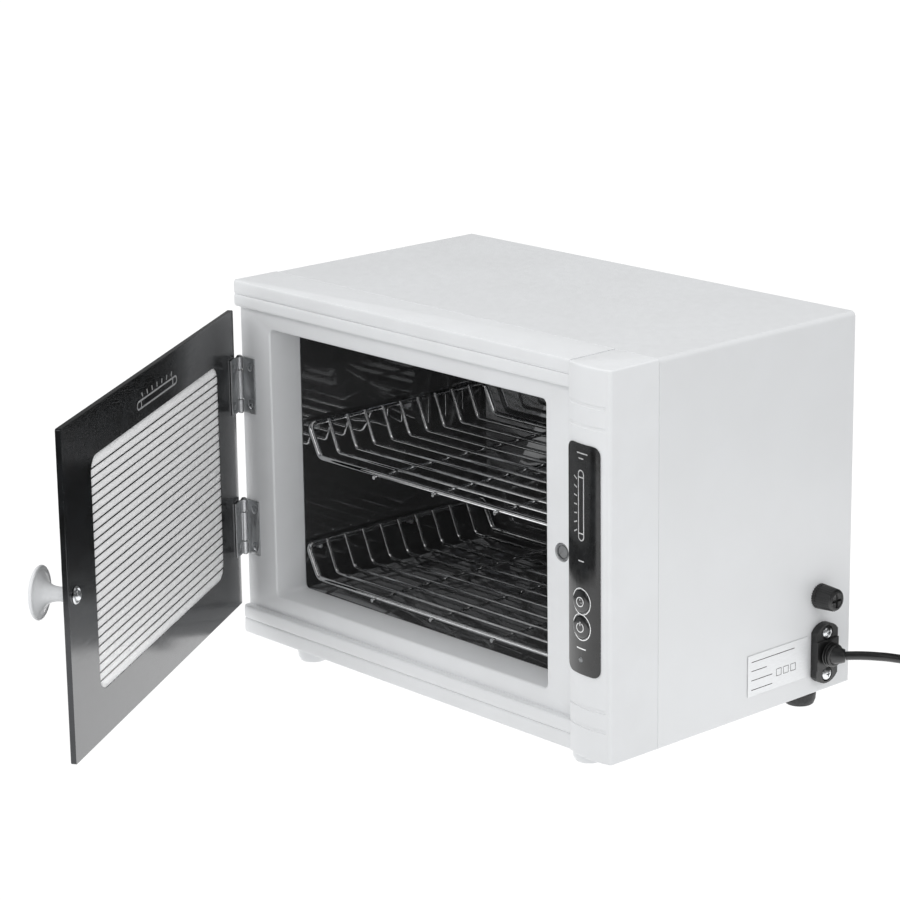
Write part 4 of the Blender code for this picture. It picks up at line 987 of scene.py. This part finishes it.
def label_sheet():
    """The gloss film on the pillar, bowed with it, with holes for the two buttons and the indicator."""
    (x0, x1), (z0, z1), corner, columns = LABEL_X, LABEL_Z, 0.005, 14
    rings = []
    for column in range(columns + 1):
        x = x0 + (x1 - x0) * (0.5 - 0.5 * math.cos(math.pi * column / columns))
        edge = min(x - x0, x1 - x)
        pull = corner - math.sqrt(max(0.0, corner ** 2 - (corner - edge) ** 2)) if edge < corner else 0.0
        face = pillar_front(x) - GAP
        rings.append([(x, face, z0 + pull), (x, face, z1 - pull), (x, face - LABEL_SHEET, z1 - pull),
                      (x, face - LABEL_SHEET, z0 + pull)])
    sheet = loft("label_sheet", rings, 30)
    holes = [(BUTTON_X, z, BUTTON_RADIUS + 0.0003) for z in BUTTONS.values()] + [(LED_X, LED_Z, LED_RADIUS + 0.0002)]
    for index, (x, z, radius) in enumerate(holes):
        cut(sheet, rod(f"label_hole_{index}", (x, FRONT, z), (x, FRONT - 0.02, z), radius, 48), angle=30)
    fit(sheet, "cabinet", LABEL, "control_label")


def ribbon(name, routes, width, at, lift=0.00006):
    """Flat printed lines along routes in (u, v); at(u, v, lift) is the place on the printed surface."""
    shape = bmesh.new()
    for route in routes:
        ring = route[0] == route[-1]
        points = [Vector(point) for point in (route[:-1] if ring else route)]
        sections = []
        for here, point in enumerate(points):
            before = points[here - 1] if ring or here else point
            after = points[(here + 1) % len(points)] if ring or here < len(points) - 1 else point
            along = (after - before).normalized()
            across = Vector((-along.y, along.x)) * width / 2
            sides = ((point - across, -lift), (point - across, lift), (point + across, lift), (point + across, -lift))
            sections.append([shape.verts.new(at(side.x, side.y, rise)) for side, rise in sides])
        following = sections[1:] + sections[:1] if ring else sections[1:]
        for low, high in zip(sections, following):
            for here in range(4):
                there = (here + 1) % 4
                shape.faces.new((low[here], low[there], high[there], high[here]))
        if not ring:
            shape.faces.new(reversed(sections[0]))
            shape.faces.new(sections[-1])
    return from_bmesh(name, shape)


def circle(x, y, radius, start=0, end=360, steps=48):
    """A route round a circle, or part of one, between two angles in degrees."""
    route = arc((x, y), radius, start, end, steps)
    if end - start == 360:
        route[-1] = route[0]
    return route


def divided(routes, steps=6):
    """Routes with more points in each straight, so that they follow a bowed surface."""
    finer = []
    for route in routes:
        points = [Vector(point) for point in route]
        line = [start.lerp(end, step / steps) for start, end in zip(points, points[1:]) for step in range(steps)]
        finer.append([tuple(point) for point in line + [points[-1]]])
    return finer


def lamp_symbol(x, y, length, height, upright):
    """Routes of a plain sign for a lamp: a tube, its two ends, and rays on one side of it."""
    half, radius = length / 2, height * 0.26
    capsule = arc((half - radius, 0), radius, -90, 90, 10) + arc((radius - half, 0), radius, 90, 270, 10)
    routes = [capsule + capsule[:1]]
    for side in (-1, 1):
        routes.append([(side * half * 0.80, -radius), (side * half * 0.80, radius)])
    for ray in range(-3, 4):
        foot = ray * half * 0.24
        routes.append([(foot, radius + height * 0.16), (foot + ray * height * 0.06, height * 0.74)])
    if upright:
        routes = [[(-v, u) for u, v in route] for route in routes]
    return [[(x + u, y + v) for u, v in route] for route in routes]


def on_label(x, z, lift):
    return Vector((x, pillar_front(x) - GAP - LABEL_SHEET - lift, z))


def label_marks():
    """Plain marks where the label has words: a lamp sign, and short rules by the buttons and the indicator."""
    routes = lamp_symbol(0.1432, 0.147, 0.040, 0.0086, True)
    routes += [[(0.1398, 0.1767), (0.1486, 0.1767)], [(0.1412, 0.1737), (0.1452, 0.1737)]]
    routes += [[(0.1408, 0.1152), (0.1456, 0.1152)], [(0.1392, 0.0645), (0.1470, 0.0645)]]
    marks = ribbon("label_marks", divided(routes), 0.0007, on_label)
    fit(marks, "cabinet", SILVER, "control_label")


def button_mark(which, z, face, routes):
    def on_button(x, height, lift):
        return Vector((BUTTON_X + x, face - 0.00008 - lift, z + height))
    mark = ribbon(f"button_mark_{which}", routes, 0.0005, on_button, 0.0001)
    fit(mark, f"{which}_button", SILVER, f"button_{which}")


def buttons():
    """Two domed push buttons in printed rings, each with a plain mark."""
    for which, z in BUTTONS.items():
        low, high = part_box(f"button_{which}")
        centre = (BUTTON_X, high.y, z)
        reach, radius = high.y - low.y, BUTTON_RADIUS
        dome = [(0, reach + 0.0002), (radius * 0.5, reach + 0.0001), (radius * 0.82, reach - 0.0002),
                (radius * 0.96, reach - 0.0007), (radius, reach - 0.0014)]
        profile = curved(dome, 4) + [(radius, reach - 0.0038), (0.0025, reach - 0.0038), (0.0025, 0), (0, 0)]
        cap = lathe(f"button_cap_{which}", profile, centre, (0, -1, 0), 56)
        fit(cap, f"{which}_button", BUTTON_PLASTIC, f"button_{which}")
        ring = ribbon(f"button_ring_{which}", [circle(BUTTON_X, z, radius + 0.0009)], 0.0006, on_label)
        fit(ring, "cabinet", SILVER, "control_label")
        if which == "timer":
            routes = [circle(0, 0, 0.0026), [(0, 0.0016), (0, 0), (0.0012, -0.0006)]]
        else:
            routes = [circle(0, 0, 0.0026, 115, 425), [(0, 0.0034), (0, 0.0008)]]
        button_mark(which, z, low.y, routes)


def indicator():
    low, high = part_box("indicator_led")
    radius, reach = (high.x - low.x) / 2, high.y - low.y
    dome = [(0, reach), (radius * 0.6, reach - 0.00012), (radius * 0.95, reach - 0.0004), (radius, reach - 0.0008)]
    profile = curved(dome, 4) + [(radius, 0), (0, 0)]
    lens = lathe("indicator_lens", profile, (LED_X, high.y, LED_Z), (0, -1, 0), 36)
    fit(lens, "cabinet", LED_LENS, "indicator_led")


# Side fittings

def fuse_fittings():
    """The ribbed cap on its holder, and the fuse inside."""
    low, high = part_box("fuse_cap")
    y, z = (low.y + high.y) / 2, (low.z + high.z) / 2
    refined("fuse_holder_body", "cabinet", BLACK_PLASTIC, 0.0002)
    refined("fuse_cartridge", "fuse_cap", FUSE_GLASS, 0.0001)
    refined("fuse_cap", "fuse_cap", BLACK_PLASTIC, 0.0003)
    count = 30
    ends = ((low.x + 0.0003, 0.0073), (high.x - 0.0012, 0.0064))
    ribs = []
    for index in range(count):
        turn = 2 * math.pi * index / count
        ribs.append([(x, y + radius * math.cos(turn), z + radius * math.sin(turn)) for x, radius in ends])
    bead = [(high.x, y + u, z + v) for u, v in circle(0, 0, 0.0046)[:-1]]
    for piece in (wire("fuse_cap_ribs", ribs, 0.00038, fineness=2),
                  wire("fuse_cap_bead", [bead], 0.0003, closed=True)):
        fit(piece, "fuse_cap", BLACK_PLASTIC, "fuse_cap")


def clamp_fittings():
    """The arched clamp plate with its two screws, and the ribbed, tapered strain relief."""
    refined("cord_clamp_plate", "cabinet", BLACK_PLASTIC, 0.0003)
    for end in ("top", "bottom"):
        node = f"clamp_screw_{end}"
        low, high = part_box(node)
        y, z = (low.y + high.y) / 2, (low.z + high.z) / 2
        radius, height = 0.0040, 0.0022
        head = pan_screw(f"{node}_head", (high.x - height, y, z), (1, 0, 0), radius, height)
        fit(head, "cabinet", SCREW_STEEL, node)
    refined("strain_relief", "cabinet", BLACK_PLASTIC, 0.0003)
    core = 0.0056
    for index, (along, radius) in enumerate(((0.0012, 0.0070), (0.0030, 0.0068), (0.0048, 0.0066))):
        profile = [(core, 0), (radius, 0.0002), (radius + 0.0003, 0.0006), (radius, 0.0010), (core, 0.0012), (core, 0)]
        collar = lathe(f"relief_rib_{index}", profile, (CLAMP_FACE_X + along, CLAMP_Y, CLAMP_Z), (1, 0, 0), 48)
        fit(collar, "cabinet", BLACK_PLASTIC, "strain_relief")


def feet():
    for node, look in (("front_left_foot", WHITE_ABS), ("front_right_foot", WHITE_ABS),
                       ("rear_left_foot", BLACK_RUBBER), ("rear_right_foot", BLACK_RUBBER)):
        low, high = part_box(node)
        x, y = (low.x + high.x) / 2, (low.y + high.y) / 2
        radius, foot = (high.x - low.x) / 2, 0.0080
        profile = [(0, GROUND), (radius * 0.35, GROUND), (radius * 0.40, GROUND + 0.0008),
                   (radius * 0.62, GROUND + 0.0008), (radius * 0.68, GROUND), (radius * 0.80, GROUND),
                   (radius * 0.86, GROUND + 0.0005), (radius * 0.96, GROUND + foot * 0.4), (radius, -GAP), (0, -GAP)]
        shape = lathe(f"{node}_turned", profile, (x, y, 0), (0, 0, 1), 56)
        fit(shape, "cabinet", look, node)


def rating_plate():
    """A silvery sticker with plain rules and boxes where the real one has print."""
    low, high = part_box("rating_label")
    refined("rating_label", "cabinet", FOIL, 0.00005)
    start, top = low.y + 0.003, high.z - 0.0042

    def on_sticker(y, z, lift):
        return Vector((high.x + lift * 0.5, start + y, top + z))

    rows = [[(0, 0), (0.037, 0)], [(0, -0.0055), (0.013, -0.0055)], [(0, -0.0170), (0.018, -0.0170)],
            [(0, -0.0112), (0.018, -0.0112)]]
    for index in range(3):
        across = 0.0215 + 0.0062 * index
        rows.append([(across, -0.0134), (across + 0.0042, -0.0134), (across + 0.0042, -0.0092), (across, -0.0092),
                     (across, -0.0134)])
    rules = ribbon("rating_rules", rows, 0.00045, on_sticker)
    fit(rules, "cabinet", INK, "rating_label")


# Inside

def lamp():
    """The ultraviolet tube with its metal end caps and pins, in two sockets."""
    low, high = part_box("uv_lamp")
    y, z = (low.y + high.y) / 2, (low.z + high.z) / 2
    radius = (high.y - low.y) / 2
    pin_reach, cap_reach = 0.007, 0.011
    left, right = low.x + pin_reach, high.x - pin_reach
    shoulder, wide = radius - 0.0012, radius - 0.0003
    profile = [(0, left), (shoulder, left + 0.0001), (wide, left + 0.0012), (wide, right - 0.0012),
               (shoulder, right - 0.0001), (0, right)]
    tube = lathe("uv_tube", profile, (0, y, z), (1, 0, 0), 40)
    fit(tube, "uv_lamp", LAMP_GLASS, "uv_lamp")
    for side, start, end, outer, inner in (("left", left, left + cap_reach, low.x, left + 0.001),
                                           ("right", right - cap_reach, right, high.x, right - 0.001)):
        cap = [(0, start), (radius - 0.0005, start), (radius, start + 0.0005), (radius, end - 0.0003),
               (radius - 0.0002, end), (0, end)]
        fit(lathe(f"uv_cap_{side}", cap, (0, y, z), (1, 0, 0), 40), "uv_lamp", SCREW_STEEL, "uv_lamp")
        for index, rise in enumerate((-0.0024, 0.0024)):
            pin = rod(f"uv_pin_{side}_{index}", (inner, y, z + rise), (outer, y, z + rise), 0.0012, 20)
            fit(pin, "uv_lamp", SCREW_STEEL, "uv_lamp")


add_camera()
add_floor()
add_light()
cord = power_cord()
plug = cord_plug()
tie = cord_tie()
bezel_frame()
bezel_pillar()
door_magnet()
casing()
rear_cover()
door_panel()
door_window()
window_lines()
door_sign()
door_knob()
knob_fixing()
hinges()
for node in ("upper_rack", "lower_rack"):
    rack(node)
for which in ("upper", "lower"):
    for side in ("left", "right"):
        for spot in ("front", "middle"):
            peg(f"{which}_{side}_{spot}_peg")
label_sheet()
label_marks()
buttons()
indicator()
fuse_fittings()
clamp_fittings()
feet()
rating_plate()
lamp()
for node, look, width in (
    ("chamber_liner", MIRROR, 0.0002), ("base_pan", WHITE_PAINT, 0.0002), ("lamp_socket_left", LAMP_HOLDER, 0.0005),
    ("lamp_socket_right", LAMP_HOLDER, 0.0005), ("ballast", BALLAST, 0.0006), ("control_board", BOARD, 0.0002),
):
    refined(node, "cabinet", look, width)
